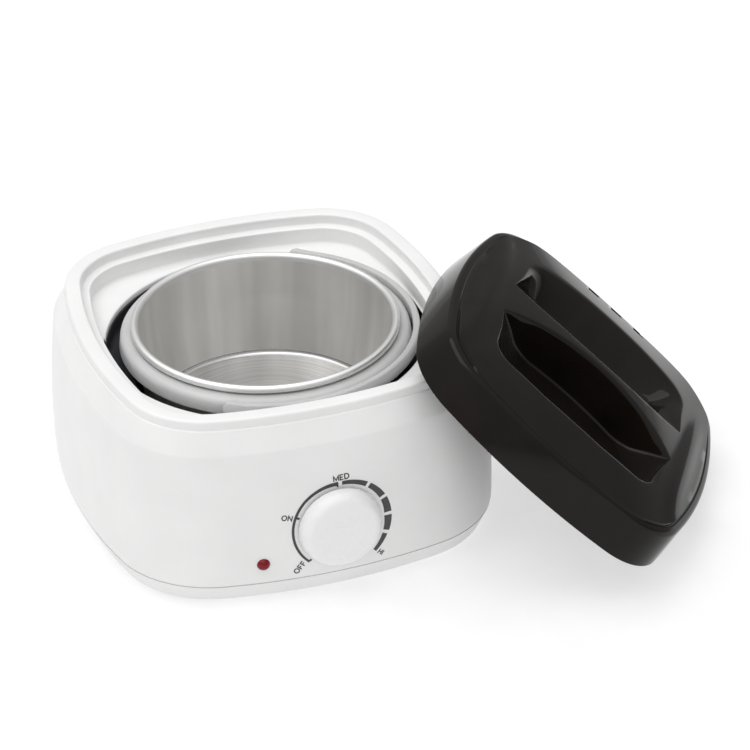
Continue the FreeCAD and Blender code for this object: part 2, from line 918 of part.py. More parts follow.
def terminal_block():
    """Three-way block for the internal leads."""
    middle = V(block_x, block_y, 0)
    half = V(block_length / 2, block_width / 2, 0)
    low = middle - half + V(0, 0, pan_floor_z)
    body = box(low, middle + half + V(0, 0, pan_floor_z + block_height))
    pitch = block_length / block_ways
    cuts = []
    for i in range(block_ways):
        x = low.x + pitch * (i + 0.5)
        top = pan_floor_z + block_height
        cuts.append(cylinder(block_screw_radius, top - block_mouth_depth, top + 1, x, block_y))
        far = block_y + block_width / 2
        near = low.y + block_mouth_depth
        cuts.append(cylinder_y(block_mouth_radius, low.y - 1, near, x, lead_z))
        cuts.append(cylinder_y(block_mouth_radius, far - block_mouth_depth, far + 1, x, lead_z))
    return body.cut(cuts)


def inlet_mouth(near, far):
    """Recess of the mains inlet: two round lobes joined by a lower waist."""
    lobes = [
        cylinder_y(inlet_mouth_radius, near, far, side * inlet_mouth_half, inlet_z)
        for side in (-1, 1)
    ]
    waist = box(
        V(-inlet_mouth_half, near, inlet_z - inlet_waist_half),
        V(inlet_mouth_half, far, inlet_z + inlet_waist_half),
    )
    return waist.fuse(lobes)


def mains_inlet():
    """Two-pin mains inlet through the rear wall."""
    half_w = inlet_width / 2
    half_h = inlet_height / 2
    body = box(
        V(-half_w, back_y - inlet_body_depth, inlet_z - half_h),
        V(half_w, back_y + inlet_flange, inlet_z + half_h),
    )
    rim_w = half_w + inlet_flange_margin
    rim_h = half_h + inlet_flange_margin
    flange = box(
        V(-rim_w, back_y, inlet_z - rim_h), V(rim_w, back_y + inlet_flange, inlet_z + rim_h)
    )
    corners = [e for e in flange.Edges if abs(e.tangentAt(0).y) > 0.9]
    flange = flange.makeFillet(inlet_flange_margin, corners)
    face = back_y + inlet_flange
    holes = [inlet_mouth(face - inlet_mouth_depth, face + 1)]
    bore = inlet_pin_radius + pin_fixed
    rear = back_y - inlet_body_depth
    for side in (-1, 1):
        holes.append(cylinder_y(bore, rear - 1, face, side * inlet_mouth_half, inlet_z))
    return body.fuse(flange).cut(holes)


def inlet_pins():
    """Two round contact pins with flat tabs behind."""
    rear = back_y - inlet_body_depth
    tip = back_y + inlet_flange - inlet_pin_inset
    pins = []
    for side in (-1, 1):
        x = side * inlet_mouth_half
        pin = cylinder_y(inlet_pin_radius, rear - 1, tip, x, inlet_z)
        edge = [e for e in pin.Edges if e.BoundBox.YMin > tip - tiny]
        pin = pin.makeFillet(inlet_pin_radius / 2, edge)
        thin = inlet_pin_radius / 3
        tab = box(
            V(x - thin, rear - inlet_tab, inlet_z - inlet_pin_inset),
            V(x + thin, rear, inlet_z + inlet_pin_inset),
        )
        pins.append(pin.fuse(tab))
    return Part.Compound(pins)


def lead(points):
    """Round lead through a row of points, rounded at each bend."""
    pieces = []
    for near, far in zip(points[:-1], points[1:]):
        run = far - near
        pieces.append(Part.makeCylinder(lead_radius, run.Length, near, run))
    for joint in points[1:-1]:
        pieces.append(Part.makeSphere(lead_radius, joint))
    return pieces[0].fuse(pieces[1:])


def internal_leads():
    """Insulated leads from the inlet and thermostat to the terminal block."""
    low_y = block_y - block_width / 2 + block_mouth_depth
    high_y = block_y + block_width / 2 - block_mouth_depth
    pitch = block_length / block_ways
    ways = [block_x - block_length / 2 + pitch * (i + 0.5) for i in range(block_ways)]
    inlet_rear = back_y - inlet_body_depth - inlet_tab
    runs = []
    for side, way in ((-1, ways[0]), (1, ways[1])):
        x = side * inlet_mouth_half
        level = inlet_z - side * lead_bend
        out_y = inlet_rear - lead_behind_inlet - lead_stagger * side
        runs.append([
            V(x, inlet_rear - slim_gap, inlet_z),
            V(x, out_y, inlet_z),
            V(x, out_y, level),
            V(way, out_y, level),
            V(way, out_y, lead_z),
            V(way, high_y + slim_gap, lead_z),
        ])
    tab_y = control_seat_y + thermostat_size_y + thermostat_tab_length + slim_gap
    turn_y = tab_y + lead_straight
    near_y = block_y - block_width / 2 - lead_straight
    for i, way in ((0, ways[1]), (1, ways[2])):
        x = knob_x + i * thermostat_size_x / 4
        level = lead_z + (1 + i) * lead_bend
        runs.append([
            V(x, tab_y, knob_z - thermostat_tab_drop),
            V(x, turn_y, knob_z - thermostat_tab_drop),
            V(x, turn_y, level),
            V(way, turn_y, level),
            V(way, near_y, level),
            V(way, near_y, lead_z),
            V(way, low_y - slim_gap, lead_z),
        ])
    return Part.Compound([lead(points) for points in runs])


def wax_can():
    """Drawn aluminium pot with a rolled rim."""
    inner_r = pot_radius - pot_corner
    corner_z = pot_floor_z + pot_corner
    body = revolved([
        (0, pot_floor_z),
        (inner_r, pot_floor_z),
        round_corner(pot_corner, inner_r, corner_z, -90, 0),
        (pot_radius, bead_z),
        (pot_outer, bead_z),
        (pot_outer, corner_z),
        round_corner(pot_corner + pot_wall, inner_r, corner_z, 0, -90),
        (0, pot_floor_z - pot_wall),
    ])
    bead = Part.makeTorus(bead_ring, bead_radius, V(0, 0, bead_z))
    return body.fuse(bead)


def pot_collar():
    """Translucent ring under the pot's rim, with sleeve, flange and skirt."""
    sleeve_r = collar_inner + collar_sleeve
    low_z = collar_top_z - collar_sleeve_length
    edge_z = collar_top_z - collar_edge_drop
    skirt_r = collar_radius - collar_skirt
    body = revolved([
        (collar_inner, low_z),
        (collar_inner, collar_top_z),
        (sleeve_r, collar_top_z),
        (collar_radius - collar_edge_break, edge_z),
        (collar_radius, edge_z - collar_edge_break),
        (collar_radius, collar_bottom_z),
        (skirt_r, collar_bottom_z),
        (skirt_r, edge_z - collar_flange),
        (sleeve_r, edge_z - collar_flange),
        (sleeve_r, low_z),
    ])
    bosses = [radial(pin_boss_radius, sleeve_r - collar_fit, skirt_r + collar_fit, a) for a in pivots]
    bores = [radial(pin_radius + pin_fixed, sleeve_r, collar_radius + 1, a) for a in pivots]
    return body.fuse(bosses).cut(bores)


def radial(radius, near, far, angle):
    """Level cylinder pointing away from the pot's axis at the pivot height."""
    start = polar(near, angle, bail_z)
    return Part.makeCylinder(radius, far - near, start, polar(1, angle))


def bail_pins():
    """Two pivot pins between the collar and the bail's ends."""
    near = collar_inner + collar_sleeve + slim_gap
    return Part.Compound([radial(pin_radius, near, bail_outer - pin_sunk, a) for a in pivots])


def bail_handle():
    """Flat half-ring handle, folded down round the pot's collar."""
    half = bail_height / 2
    ring = ring_sector(bail_inner, bail_outer, bail_z - half, bail_z + half, pivots[1], 180)
    eyes = [radial(bail_eye_radius, bail_inner, bail_outer, a) for a in pivots]
    bores = [radial(pin_radius + pin_running, bail_inner - 1, bail_outer + 1, a) for a in pivots]
    return ring.fuse(eyes).cut(bores)


def crown_patch(low, crown, half_x, half_y):
    """Pillow-shaped face, level at the edges of a rectangle."""
    face = Part.BezierSurface()
    face.increase(2, 2)
    for i in range(3):
        for j in range(3):
            rise = 4 * crown if i == 1 and j == 1 else 0.0
            point = V((i - 1) * half_x, (j - 1) * half_y, low + rise)
            face.setPole(i + 1, j + 1, point)
    return face.toShape()


def lid_body(shrink, low):
    """The lid's closed form, or the same form shrunk for its hollow."""
    shoulder_w = lid_side_height - shrink
    crown_w = shoulder_w + lid_edge_rise
    foot_out = lid_outset - shrink
    side_out = foot_out - lid_side_draft
    edge_out = side_out - lid_edge_width
    side = plan_loft([(low, foot_out), (shoulder_w, side_out)])
    strip = plan_loft([(shoulder_w, side_out), (crown_w, edge_out)])
    half_x = plan_half_x + edge_out + crown_margin
    half_y = plan_half_y + edge_out + crown_margin
    patch = crown_patch(crown_w, lid_crown, half_x, half_y)
    crown = patch.extrude(V(0, 0, -lid_crown - lid_wall))
    crown = crown.common(plan_prism(edge_out, 0, lid_side_height + 2 * lid_crown))
    return side.fuse([strip, crown])


def finger_pocket(grow):
    """One of the two recesses beside the grip bar, or that recess grown."""
    far_y = pocket_half_y + grow
    half_x = pocket_half_x + grow
    tip_x = grip_half_length + grow
    tip_y = grip_end_half_width - grow
    round_r = pocket_corner + grow
    shift = round_r * (1 - math.sqrt(0.5))
    waist = grip_middle_half_width - 2 * grow
    outline = [
        Part.Arc(V(-tip_x, tip_y, 0), V(0, waist, 0), V(tip_x, tip_y, 0)).toShape(),
        Part.LineSegment(V(tip_x, tip_y, 0), V(half_x, far_y - round_r, 0)).toShape(),
        Part.Arc(
            V(half_x, far_y - round_r, 0),
            V(half_x - shift, far_y - shift, 0),
            V(half_x - round_r, far_y, 0),
        ).toShape(),
        Part.LineSegment(V(half_x - round_r, far_y, 0), V(round_r - half_x, far_y, 0)).toShape(),
        Part.Arc(
            V(round_r - half_x, far_y, 0),
            V(shift - half_x, far_y - shift, 0),
            V(-half_x, far_y - round_r, 0),
        ).toShape(),
        Part.LineSegment(V(-half_x, far_y - round_r, 0), V(-tip_x, tip_y, 0)).toShape(),
    ]
    top = lid_side_height + 2 * lid_crown
    plan = Part.Face(Part.Wire(outline)).extrude(V(0, 0, top))
    floor = pocket_floor - grow
    side = Part.makePolygon([
        V(-tip_x, -1, pocket_tip_height - grow),
        V(-pocket_bend_x - grow / 2, -1, pocket_bend_height - grow),
        V(-pocket_flat_x, -1, floor),
        V(pocket_flat_x, -1, floor),
        V(pocket_bend_x + grow / 2, -1, pocket_bend_height - grow),
        V(tip_x, -1, pocket_tip_height - grow),
        V(tip_x, -1, top),
        V(-tip_x, -1, top),
        V(-tip_x, -1, pocket_tip_height - grow),
    ])
    scoop = Part.Face(side).extrude(V(0, far_y + 2, 0))
    scoop.translate(V(0, -grow, 0))
    return plan.common(scoop)


def both_pockets(grow):
    """The pockets on either side of the grip bar."""
    first = finger_pocket(grow)
    second = first.mirror(V(0, 0, 0), V(0, 1, 0))
    return first.fuse(second)


def lid_vents():
    """Three slots through the lid's long edge."""
    cuts = []
    edge_y = plan_half_y + lid_outset - lid_side_draft
    for i in (-1, 0, 1):
        x = vent_at_x + i * vent_pitch
        low = V(x - vent_length / 2, edge_y - vent_depth, lid_side_height - vent_height)
        high = V(x + vent_length / 2, edge_y + vent_depth, lid_side_height + vent_rise)
        cuts.append(box(low, high))
    return cuts


def drip_ring():
    """Ring under the lid's top, which also meets the base's rim as the lid leans."""
    top = lid_side_height + 2 * lid_crown
    inner = cylinder(pot_radius - drip_ring_wall, 0, top + 1)
    return cylinder(pot_radius, drip_ring_low, top).cut(inner)


def lean_rotation():
    """The leaning lid's rotation."""
    turn = FreeCAD.Rotation(V(0, 0, 1), lid_turn)
    tip = FreeCAD.Rotation(V(0, 1, 0), lid_tip)
    roll = FreeCAD.Rotation(V(1, 0, 0), lid_roll)
    return turn.multiply(tip).multiply(roll)


def lid_placement():
    """Where the lid stands: its lowest edge on the table, its ring against the rim."""
    rotation = lean_rotation()
    edge = plan_wire(lid_outset, 0).discretize(lean_edge_points)
    low = min(rotation.multVec(p).z for p in edge)
    away = rotation.multVec(V(0, 0, 1))
    away = V(away.x, away.y, 0).normalize()
    start = V(plan_half_x + lid_beside, lid_forward - plan_half_y, -low) + away * lean_start
    rim = plan_prism(rim_width, ledge_z, rim_z)
    top_edges = [e for e in rim.Edges if e.BoundBox.ZMin > rim_z - rim_round]
    rim = rim.makeFillet(rim_round, top_edges)
    ring = drip_ring()
    slid = 0.0
    for _ in range(lean_steps):
        ring.Placement = FreeCAD.Placement(start - away * slid, rotation)
        slid += ring.distToShape(rim)[0] - lean_gap
    return FreeCAD.Placement(start - away * slid, rotation)


def lid():
    """Black domed lid: skirt, crown with grip bar and two pockets, ring and vents."""
    hollow = lid_body(lid_wall, -1).cut(both_pockets(lid_wall))
    body = lid_body(0, 0).cut(hollow).fuse(drip_ring().common(hollow))
    body = body.cut([both_pockets(0)] + lid_vents())
    body.Placement = lid_placement()
    return body


NODES = {
    "housing_shell": housing_shell,
    "housing_deck": housing_deck,
    "base_pan": base_pan,
    "rubber_feet": rubber_feet,
    "pan_screws": pan_screws,
    "heater_bowl": heater_bowl,
    "bowl_screws": bowl_screws,
    "band_heater": band_heater,
    "heater_strap": heater_strap,
    "strap_bolt": strap_bolt,
    "insulation_sleeve": insulation_sleeve,
    "thermal_fuse": thermal_fuse,
    "fuse_clip": fuse_clip,
    "thermostat_body": thermostat_body,
    "thermostat_shaft": thermostat_shaft,
    "thermostat_nut": thermostat_nut,
    "control_knob": control_knob,
    "led_lens": led_lens,
    "led_board": led_board,
    "terminal_block": terminal_block,
    "mains_inlet": mains_inlet,
    "inlet_pins": inlet_pins,
    "internal_leads": internal_leads,
    "wax_can": wax_can,
    "pot_collar": pot_collar,
    "bail_pins": bail_pins,
    "bail_handle": bail_handle,
    "lid": lid,
}

os.makedirs("parts", exist_ok=True)
for name, make in NODES.items():
    shape = make()
    shape.exportStep("parts/" + name + ".step")
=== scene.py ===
import math
import bmesh
import bpy
from mathutils import Matrix, Vector
from mathutils.geometry import delaunay_2d_cdt


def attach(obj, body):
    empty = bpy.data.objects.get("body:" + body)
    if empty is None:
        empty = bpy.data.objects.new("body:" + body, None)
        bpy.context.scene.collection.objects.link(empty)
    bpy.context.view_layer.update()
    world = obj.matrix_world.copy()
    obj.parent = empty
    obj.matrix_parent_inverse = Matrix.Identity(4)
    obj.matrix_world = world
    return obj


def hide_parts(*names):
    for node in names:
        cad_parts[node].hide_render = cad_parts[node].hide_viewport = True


# Points are in millimetres until a mesh is made of them. +X is the object's right, -Y its front
# and +Z up. The lid is shaped flat in a frame of its own, (x, y, w), and LID_M sets it leaning.
# A path is a list of (a, b) or (a, b, radius): the radius rounds that corner.

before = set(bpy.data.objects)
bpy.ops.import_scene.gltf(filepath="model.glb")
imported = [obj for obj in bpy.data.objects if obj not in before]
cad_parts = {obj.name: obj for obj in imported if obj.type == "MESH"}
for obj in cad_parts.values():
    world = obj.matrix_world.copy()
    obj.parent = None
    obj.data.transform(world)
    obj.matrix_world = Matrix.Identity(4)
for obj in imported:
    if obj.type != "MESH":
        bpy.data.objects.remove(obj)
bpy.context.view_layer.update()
MM = 0.001

# ------------------------------------------------------------------ sizes of the base
HALF_X, HALF_Y = 67.5, 70.5                         # the plan curve at outset 0
SIDE_R, CORNER_R, CORNER = 200.0, 27.4, (35.543, 39.401)
SIDE_POINTS, CORNER_POINTS = 22, 16                 # points on each of the plan's arcs
RIM_Z, LEDGE_Z, LEDGE_LOW, DECK_Z, DECK_UNDER, SEAM_Z = 79.4, 75.1, 70.0, 68.4, 66.2, 9.8
BELLY_Z, BELLY_OUT = 20.0, 14.3                     # where the side wall is widest, and its outset
BELLY_BELOW, BELLY_ABOVE = (0.2, 10.2), (2.8, 46.5)     # it draws in by the first over the second


# ------------------------------------------------------------------ paths and rings
def ease(t):
    """Smooth step from 0 to 1."""
    t = min(1.0, max(0.0, t))
    return t * t * (3 - 2 * t)


def arc(cx, cy, rx, ry, start, end, steps):
    """Points on an ellipse's arc between two angles in degrees."""
    out = []
    for k in range(steps + 1):
        a = math.radians(start + (end - start) * k / steps)
        out.append((cx + rx * math.cos(a), cy + ry * math.sin(a)))
    return out


def fillet(points, steps=5):
    """Rounds a path's corners; a rounding takes less than half of either leg."""
    leg_share = 0.49
    out = []
    for i, p in enumerate(points):
        r = p[2] if len(p) > 2 else 0
        if not r or i in (0, len(points) - 1):
            out.append((p[0], p[1]))
            continue
        a, b, c = (Vector(q[:2]) for q in points[i - 1:i + 2])
        u, v = (a - b).normalized(), (c - b).normalized()
        half = u.angle(v) / 2
        cut = min(r / math.tan(half), leg_share * (a - b).length, leg_share * (c - b).length)
        mid = b + (u + v).normalized() * (cut * math.tan(half) / math.sin(half))
        s, e = b + u * cut - mid, b + v * cut - mid
        turn = s.angle_signed(e)
        for k in range(steps + 1):
            q = s.copy()
            q.rotate(Matrix.Rotation(-turn * k / steps, 2))
            out.append(tuple(mid + q))
    return out


def rounded_box(left, right, low, high, radius, steps):
    """Outline of a rectangle with rounded corners."""
    mid = (low + high) / 2
    return fillet([(left, mid), (left, low, radius), (right, low, radius), (right, high, radius),
                   (left, high, radius), (left, mid)], steps)[:-1]


def plan_ring(outset):
    """Points of the base's plan curve moved out by an outset."""
    sx, sy = HALF_X - SIDE_R, HALF_Y - SIDE_R
    t1 = math.atan2(CORNER[1], CORNER[0] - sx)
    t2 = math.atan2(CORNER[1] - sy, CORNER[0])
    arcs = [((sx, 0), SIDE_R, -t1, t1, SIDE_POINTS),
            (CORNER, CORNER_R, t1, t2, CORNER_POINTS),
            ((0, sy), SIDE_R, t2, math.pi - t2, SIDE_POINTS),
            ((-CORNER[0], CORNER[1]), CORNER_R, math.pi - t2, math.pi - t1, CORNER_POINTS)]
    half = []
    for (cx, cy), r, a, b, n in arcs:
        for k in range(n):
            t = a + (b - a) * k / n
            half.append((cx + (r + outset) * math.cos(t), cy + (r + outset) * math.sin(t)))
    return half + [(-x, -y) for x, y in half]


def flatten(rings):
    """All points of some rings in one list."""
    return [p for ring in rings for p in ring]


def ring_faces(rings, closed):
    """Quads between rings of equal length; closed joins the last ring to the first."""
    n = len(rings[0])
    faces = []
    for i in range(len(rings) if closed else len(rings) - 1):
        a, b = i * n, (i + 1) % len(rings) * n
        for k in range(n):
            j = (k + 1) % n
            faces.append((a + k, a + j, b + j, b + k))
    return faces


def sweep_plan(profile):
    """Rings round the plan for (outset, z); a point ("r", radius, z) is a circle."""
    base = plan_ring(0)
    rings = []
    for p in profile:
        if p[0] == "r":
            ring = []
            for x, y in base:
                d = math.hypot(x, y)
                ring.append((x / d * p[1], y / d * p[1], p[2]))
            rings.append(ring)
        else:
            rings.append([(x, y, p[1]) for x, y in plan_ring(p[0])])
    return rings


def lathe(profile, seg):
    """Vertices and faces of a closed (radius, z) path turned about Z."""
    rings = []
    for r, z in profile:
        rings.append([(r * math.cos(2 * math.pi * k / seg), r * math.sin(2 * math.pi * k / seg), z)
                      for k in range(seg)])
    return flatten(rings), ring_faces(rings, True)


def facing_front(verts, x, y, z):
    """Turns points from facing up to facing the front, and moves them to a place."""
    return [(x + a, y - c, z + b) for a, b, c in verts]


def belly(z):
    """Outset of the side wall at a height."""
    draw_in, over = BELLY_BELOW if z < BELLY_Z else BELLY_ABOVE
    return BELLY_OUT - draw_in * ((z - BELLY_Z) / over) ** 2


# ------------------------------------------------------------------ meshes and pieces
def new_mesh(name, verts, faces, smooth):
    """Mesh from points in millimetres: outward normals, smooth shading up to an angle."""
    mesh = bpy.data.meshes.new(name)
    mesh.from_pydata([Vector(v) * MM for v in verts], [], faces)
    mesh.validate()
    mesh.update()
    bm = bmesh.new()
    bm.from_mesh(mesh)
    bmesh.ops.remove_doubles(bm, verts=bm.verts, dist=1e-6)
    bmesh.ops.recalc_face_normals(bm, faces=bm.faces)
    bm.to_mesh(mesh)
    bm.free()
    mesh.polygons.foreach_set("use_smooth", [True] * len(mesh.polygons))
    mesh.set_sharp_from_angle(angle=math.radians(smooth))
    return mesh


def add_object(name, data):
    """New object in the scene."""
    obj = bpy.data.objects.new(name, data)
    bpy.context.scene.collection.objects.link(obj)
    return obj


def dress(obj, mat):
    """One material on every slot of an object."""
    if not obj.material_slots:
        obj.data.materials.append(mat)
    for s in obj.material_slots:
        s.material = mat


def make(name, verts, faces, body, slot, look, replaces=(), smooth=35):
    """New dressed piece that rides on a body and may stand for CAD nodes."""
    obj = add_object(name, new_mesh(name, verts, faces, smooth))
    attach(obj, body)
    if replaces:
        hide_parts(*replaces)
    dress(obj, look)
    return obj


def cutter_block(rings):
    """Temporary closed block between two rings of points."""
    n = len(rings[0])
    caps = [tuple(range(n)), tuple(range(2 * n - 1, n - 1, -1))]
    return add_object("cut", new_mesh("cut", flatten(rings), ring_faces(rings, False) + caps, 30))


def carve(obj, cutter, look):
    """Cuts a block out of a piece and removes the block."""
    mod = obj.modifiers.new("cut", "BOOLEAN")
    mod.operation, mod.object, mod.solver = "DIFFERENCE", cutter, "EXACT"
    bpy.context.view_layer.update()
    depsgraph = bpy.context.evaluated_depsgraph_get()
    cut_mesh = bpy.data.meshes.new_from_object(obj.evaluated_get(depsgraph))
    obj.modifiers.clear()
    obj.data = cut_mesh
    bpy.data.objects.remove(cutter)
    dress(obj, look)


# ------------------------------------------------------------------ materials
class Nodes:
    """Short hand for a Principled material with textures in object space."""

    def __init__(self, name):
        self.mat = bpy.data.materials.new(name)
        self.mat.use_nodes = True
        self.tree = self.mat.node_tree
        self.bsdf = self.tree.nodes["Principled BSDF"]
        self.coord = self.add("ShaderNodeTexCoord").outputs["Object"]

    def add(self, kind, inputs=(), **settings):
        """New node with its settings; a socket among its input values is linked."""
        node = self.tree.nodes.new(kind)
        for key, value in settings.items():
            setattr(node, key, value)
        for key, value in dict(inputs).items():
            if isinstance(value, bpy.types.NodeSocket):
                self.link(value, node.inputs[key])
            else:
                node.inputs[key].default_value = value
        return node

    def link(self, a, b):
        self.tree.links.new(a, b)

    def set(self, **values):
        """Values of the shader's inputs."""
        for key, value in values.items():
            self.bsdf.inputs[key.replace("_", " ")].default_value = value

    def noise(self, scale, detail, stretch=None):
        where = self.coord
        if stretch:
            mapped = self.add("ShaderNodeMapping", {"Scale": stretch, "Vector": self.coord})
            where = mapped.outputs["Vector"]
        node = self.add("ShaderNodeTexNoise",
                        {"Scale": scale, "Detail": detail, "Roughness": 0.55, "Vector": where})
        return node.outputs["Fac"]

    def ramp(self, fac, stops):
        """Colours by a factor, from (position, colour) stops."""
        node = self.add("ShaderNodeValToRGB", {"Fac": fac})
        els = node.color_ramp.elements
        while len(els) < len(stops):
            els.new(0.5)
        for el, (pos, col) in zip(els, stops):
            el.position = pos
            el.color = (*col, 1)
        return node.outputs["Color"]

    def colour(self, fac, stops):
        self.link(self.ramp(fac, stops), self.bsdf.inputs["Base Color"])

    def roughness(self, fac, low, high):
        node = self.add("ShaderNodeMapRange", {"To Min": low, "To Max": high, "Value": fac})
        self.link(node.outputs["Result"], self.bsdf.inputs["Roughness"])

    def bump(self, height, strength, distance, under=None):
        """Bump on the shader's normal, on top of the bump under it."""
        node = self.add("ShaderNodeBump",
                        {"Strength": strength, "Distance": distance, "Height": height})
        if under is not None:
            self.link(under, node.inputs["Normal"])
        self.link(node.outputs["Normal"], self.bsdf.inputs["Normal"])
        return node.outputs["Normal"]


def surface(name, mottle, stops, wear, rough, grains, **values):
    """Material with noise in its colour, roughness and height.

    mottle and wear are the (scale, detail) of the noise in colour and roughness, rough is the
    roughness's (low, high), and each grain is a bump's (scale, detail, strength, distance).
    """
    m = Nodes(name)
    m.colour(m.noise(*mottle), stops)
    m.roughness(m.noise(*wear), *rough)
    under = None
    for scale, detail, strength, distance in grains:
        under = m.bump(m.noise(scale, detail), strength, distance, under)
    m.set(**values)
    return m.mat


def plastic(name, low, high, rough, grain=1800.0, bump=0.12):
    """Moulded plastic: faint mottle, fine spark-eroded texture, soft roughness changes."""
    return surface(name, (40, 4), [(0.3, low), (0.7, high)], (160, 3), (rough - 0.05, rough + 0.06),
                   [(grain, 2, bump, 0.00005)], IOR=1.46, Specular_IOR_Level=0.5)


def frosted(name, tone, rough, clear):
    """Translucent moulded plastic with flow mottle."""
    return surface(name, (45, 3), [(0.3, tone), (0.7, tuple(c + 0.06 for c in tone))],
                   (120, 3), (rough - 0.05, rough + 0.06), [(300, 2, 0.05, 0.00003)],
                   IOR=1.46, Transmission_Weight=clear)


def metal(name, low, high, rough, stretch):
    """Worked metal: stretched tool lines in colour, roughness and height."""
    m = Nodes(name)
    lines = m.noise(900, 4, stretch)
    m.colour(lines, [(0.3, low), (0.7, high)])
    m.roughness(lines, rough - 0.08, rough + 0.08)
    m.bump(lines, 0.15, 0.00003)
    m.set(Metallic=1.0)
    return m.mat


def spun(name, low, high, rough, draw_bump_and_painted_bands=False, turned=0.0):
    """Aluminium with fine rings round the pot's axis.

    One flag lays broad vertical bands of painted reflection in the colour, with a bump of draw
    marks on them, and turned stretches the reflections round the axis.
    """
    m = Nodes(name)
    place = m.add("ShaderNodeSeparateXYZ", {0: m.coord})
    flat = m.add("ShaderNodeCombineXYZ", {0: place.outputs[0], 1: place.outputs[1]})
    radius = m.add("ShaderNodeVectorMath", {0: flat.outputs[0]}, operation="LENGTH")
    line = m.add("ShaderNodeCombineXYZ", {0: radius.outputs["Value"], 2: place.outputs[2]})
    rings = m.add("ShaderNodeTexNoise",
                  {"Scale": 1100, "Detail": 3, "Vector": line.outputs[0]}).outputs["Fac"]
    # broad vertical bands of painted reflection in the colour; the same noise bumps them as draw
    # marks
    painted_bands_and_bump = m.noise(42, 3, (1, 1, 0.03)) if draw_bump_and_painted_bands else rings
    m.colour(painted_bands_and_bump, [(0.38, low), (0.6, high)])
    m.roughness(rings, rough - 0.04, rough + 0.05)
    fine = m.bump(rings, 0.05, 0.00002)
    if draw_bump_and_painted_bands:
        m.bump(painted_bands_and_bump, 0.2, 0.0004, fine)
    m.set(Metallic=0.8 if draw_bump_and_painted_bands else 1.0, Anisotropic=turned)
    if turned:
        tangent = m.add("ShaderNodeTangent", direction_type="RADIAL", axis="Z")
        m.link(tangent.outputs[0], m.bsdf.inputs["Tangent"])
    return m.mat


WHITE = plastic("white_plastic", (0.8, 0.8, 0.797), (0.84, 0.84, 0.836), 0.34)
WHITE_KNOB = plastic("white_knob", (0.82, 0.82, 0.818), (0.85, 0.85, 0.85), 0.28)
WHITE_PAN = plastic("white_pan", (0.78, 0.78, 0.777), (0.82, 0.82, 0.817), 0.38)
BLACK_IN = plastic("inlet_black", (0.015, 0.015, 0.016), (0.03, 0.03, 0.03), 0.45)
RUBBER = plastic("foot_rubber", (0.02, 0.02, 0.02), (0.04, 0.04, 0.04), 0.75, 900, 0.3)
CONTROL = plastic("control_body", (0.03, 0.03, 0.032), (0.05, 0.05, 0.05), 0.5)
BLOCK = plastic("terminal_block", (0.62, 0.6, 0.52), (0.7, 0.68, 0.6), 0.45)
BOARD = plastic("board_laminate", (0.28, 0.18, 0.07), (0.36, 0.24, 0.1), 0.5, 600, 0.2)
LEADS = plastic("lead_sleeve", (0.32, 0.03, 0.025), (0.4, 0.05, 0.04), 0.55)
MICA = plastic("mica_board", (0.46, 0.38, 0.22), (0.6, 0.52, 0.34), 0.5, 400, 0.4)
FUSE = plastic("fuse_body", (0.7, 0.67, 0.58), (0.8, 0.77, 0.7), 0.3)
STEEL = metal("plated_steel", (0.5, 0.5, 0.51), (0.66, 0.66, 0.67), 0.3, (1, 1, 6))
BRASS = metal("turned_brass", (0.62, 0.45, 0.18), (0.78, 0.6, 0.28), 0.28, (1, 6, 1))
# polished black with a faint brown cast, finger haze and very fine orange peel
LID = surface("lid_black", (45, 4), [(0.3, (0.0045, 0.0035, 0.003)), (0.7, (0.0085, 0.006, 0.005))],
              (90, 5), (0.04, 0.1), [(1500, 2, 0.04, 0.00002), (70, 2, 0.04, 0.0003)],
              IOR=1.5, Specular_IOR_Level=0.19)
# dark non-stick coat with pale flecks over aluminium
COAT = surface("bowl_coat", (2200, 3), [(0.45, (0.03, 0.031, 0.036)), (0.62, (0.048, 0.049, 0.056)),
                                        (0.74, (0.1, 0.1, 0.108))],
               (300, 4), (0.36, 0.52), [(2600, 3, 0.2, 0.00005)])
# the pot's wall: its colour swings from 0.74 to 1.0 in broad vertical bands, painted reflection
SPUN = spun("spun_metal", (0.74, 0.728, 0.71), (1.0, 0.988, 0.972), 0.31, draw_bump_and_painted_bands=True)
BEAD = spun("bead_metal", (0.85, 0.85, 0.845), (0.91, 0.91, 0.905), 0.44)
# the pot's floor: the same metal painted darker than the wall, painted shade; its fine rings are
# real
FLOOR_PAINTED_DARK = spun("floor_painted_shade", (0.43, 0.43, 0.426), (0.56, 0.56, 0.555), 0.17, turned=0.95)
FROST = frosted("frosted_ring", (0.72, 0.72, 0.718), 0.3, 0.3)
FROST_BAIL = frosted("frosted_bail", (0.75, 0.75, 0.75), 0.2, 0.38)
RED = surface("led_red", (700, 2), [(0.3, (0.14, 0.001, 0.005)), (0.7, (0.24, 0.003, 0.01))],
              (500, 2), (0.04, 0.1), [(900, 2, 0.04, 0.00002)], IOR=1.5, Specular_IOR_Level=0.3)
INK = surface("print_ink", (1500, 3), [(0.35, (0.035, 0.035, 0.038)), (0.65, (0.06, 0.06, 0.064))],
              (900, 2), (0.4, 0.55), [(2500, 2, 0.1, 0.00002)])
FELT = surface("felt_wrap", (500, 6), [(0.3, (0.55, 0.53, 0.48)), (0.7, (0.8, 0.78, 0.73))],
               (900, 3), (0.8, 0.95), [(1200, 6, 0.6, 0.0003)])

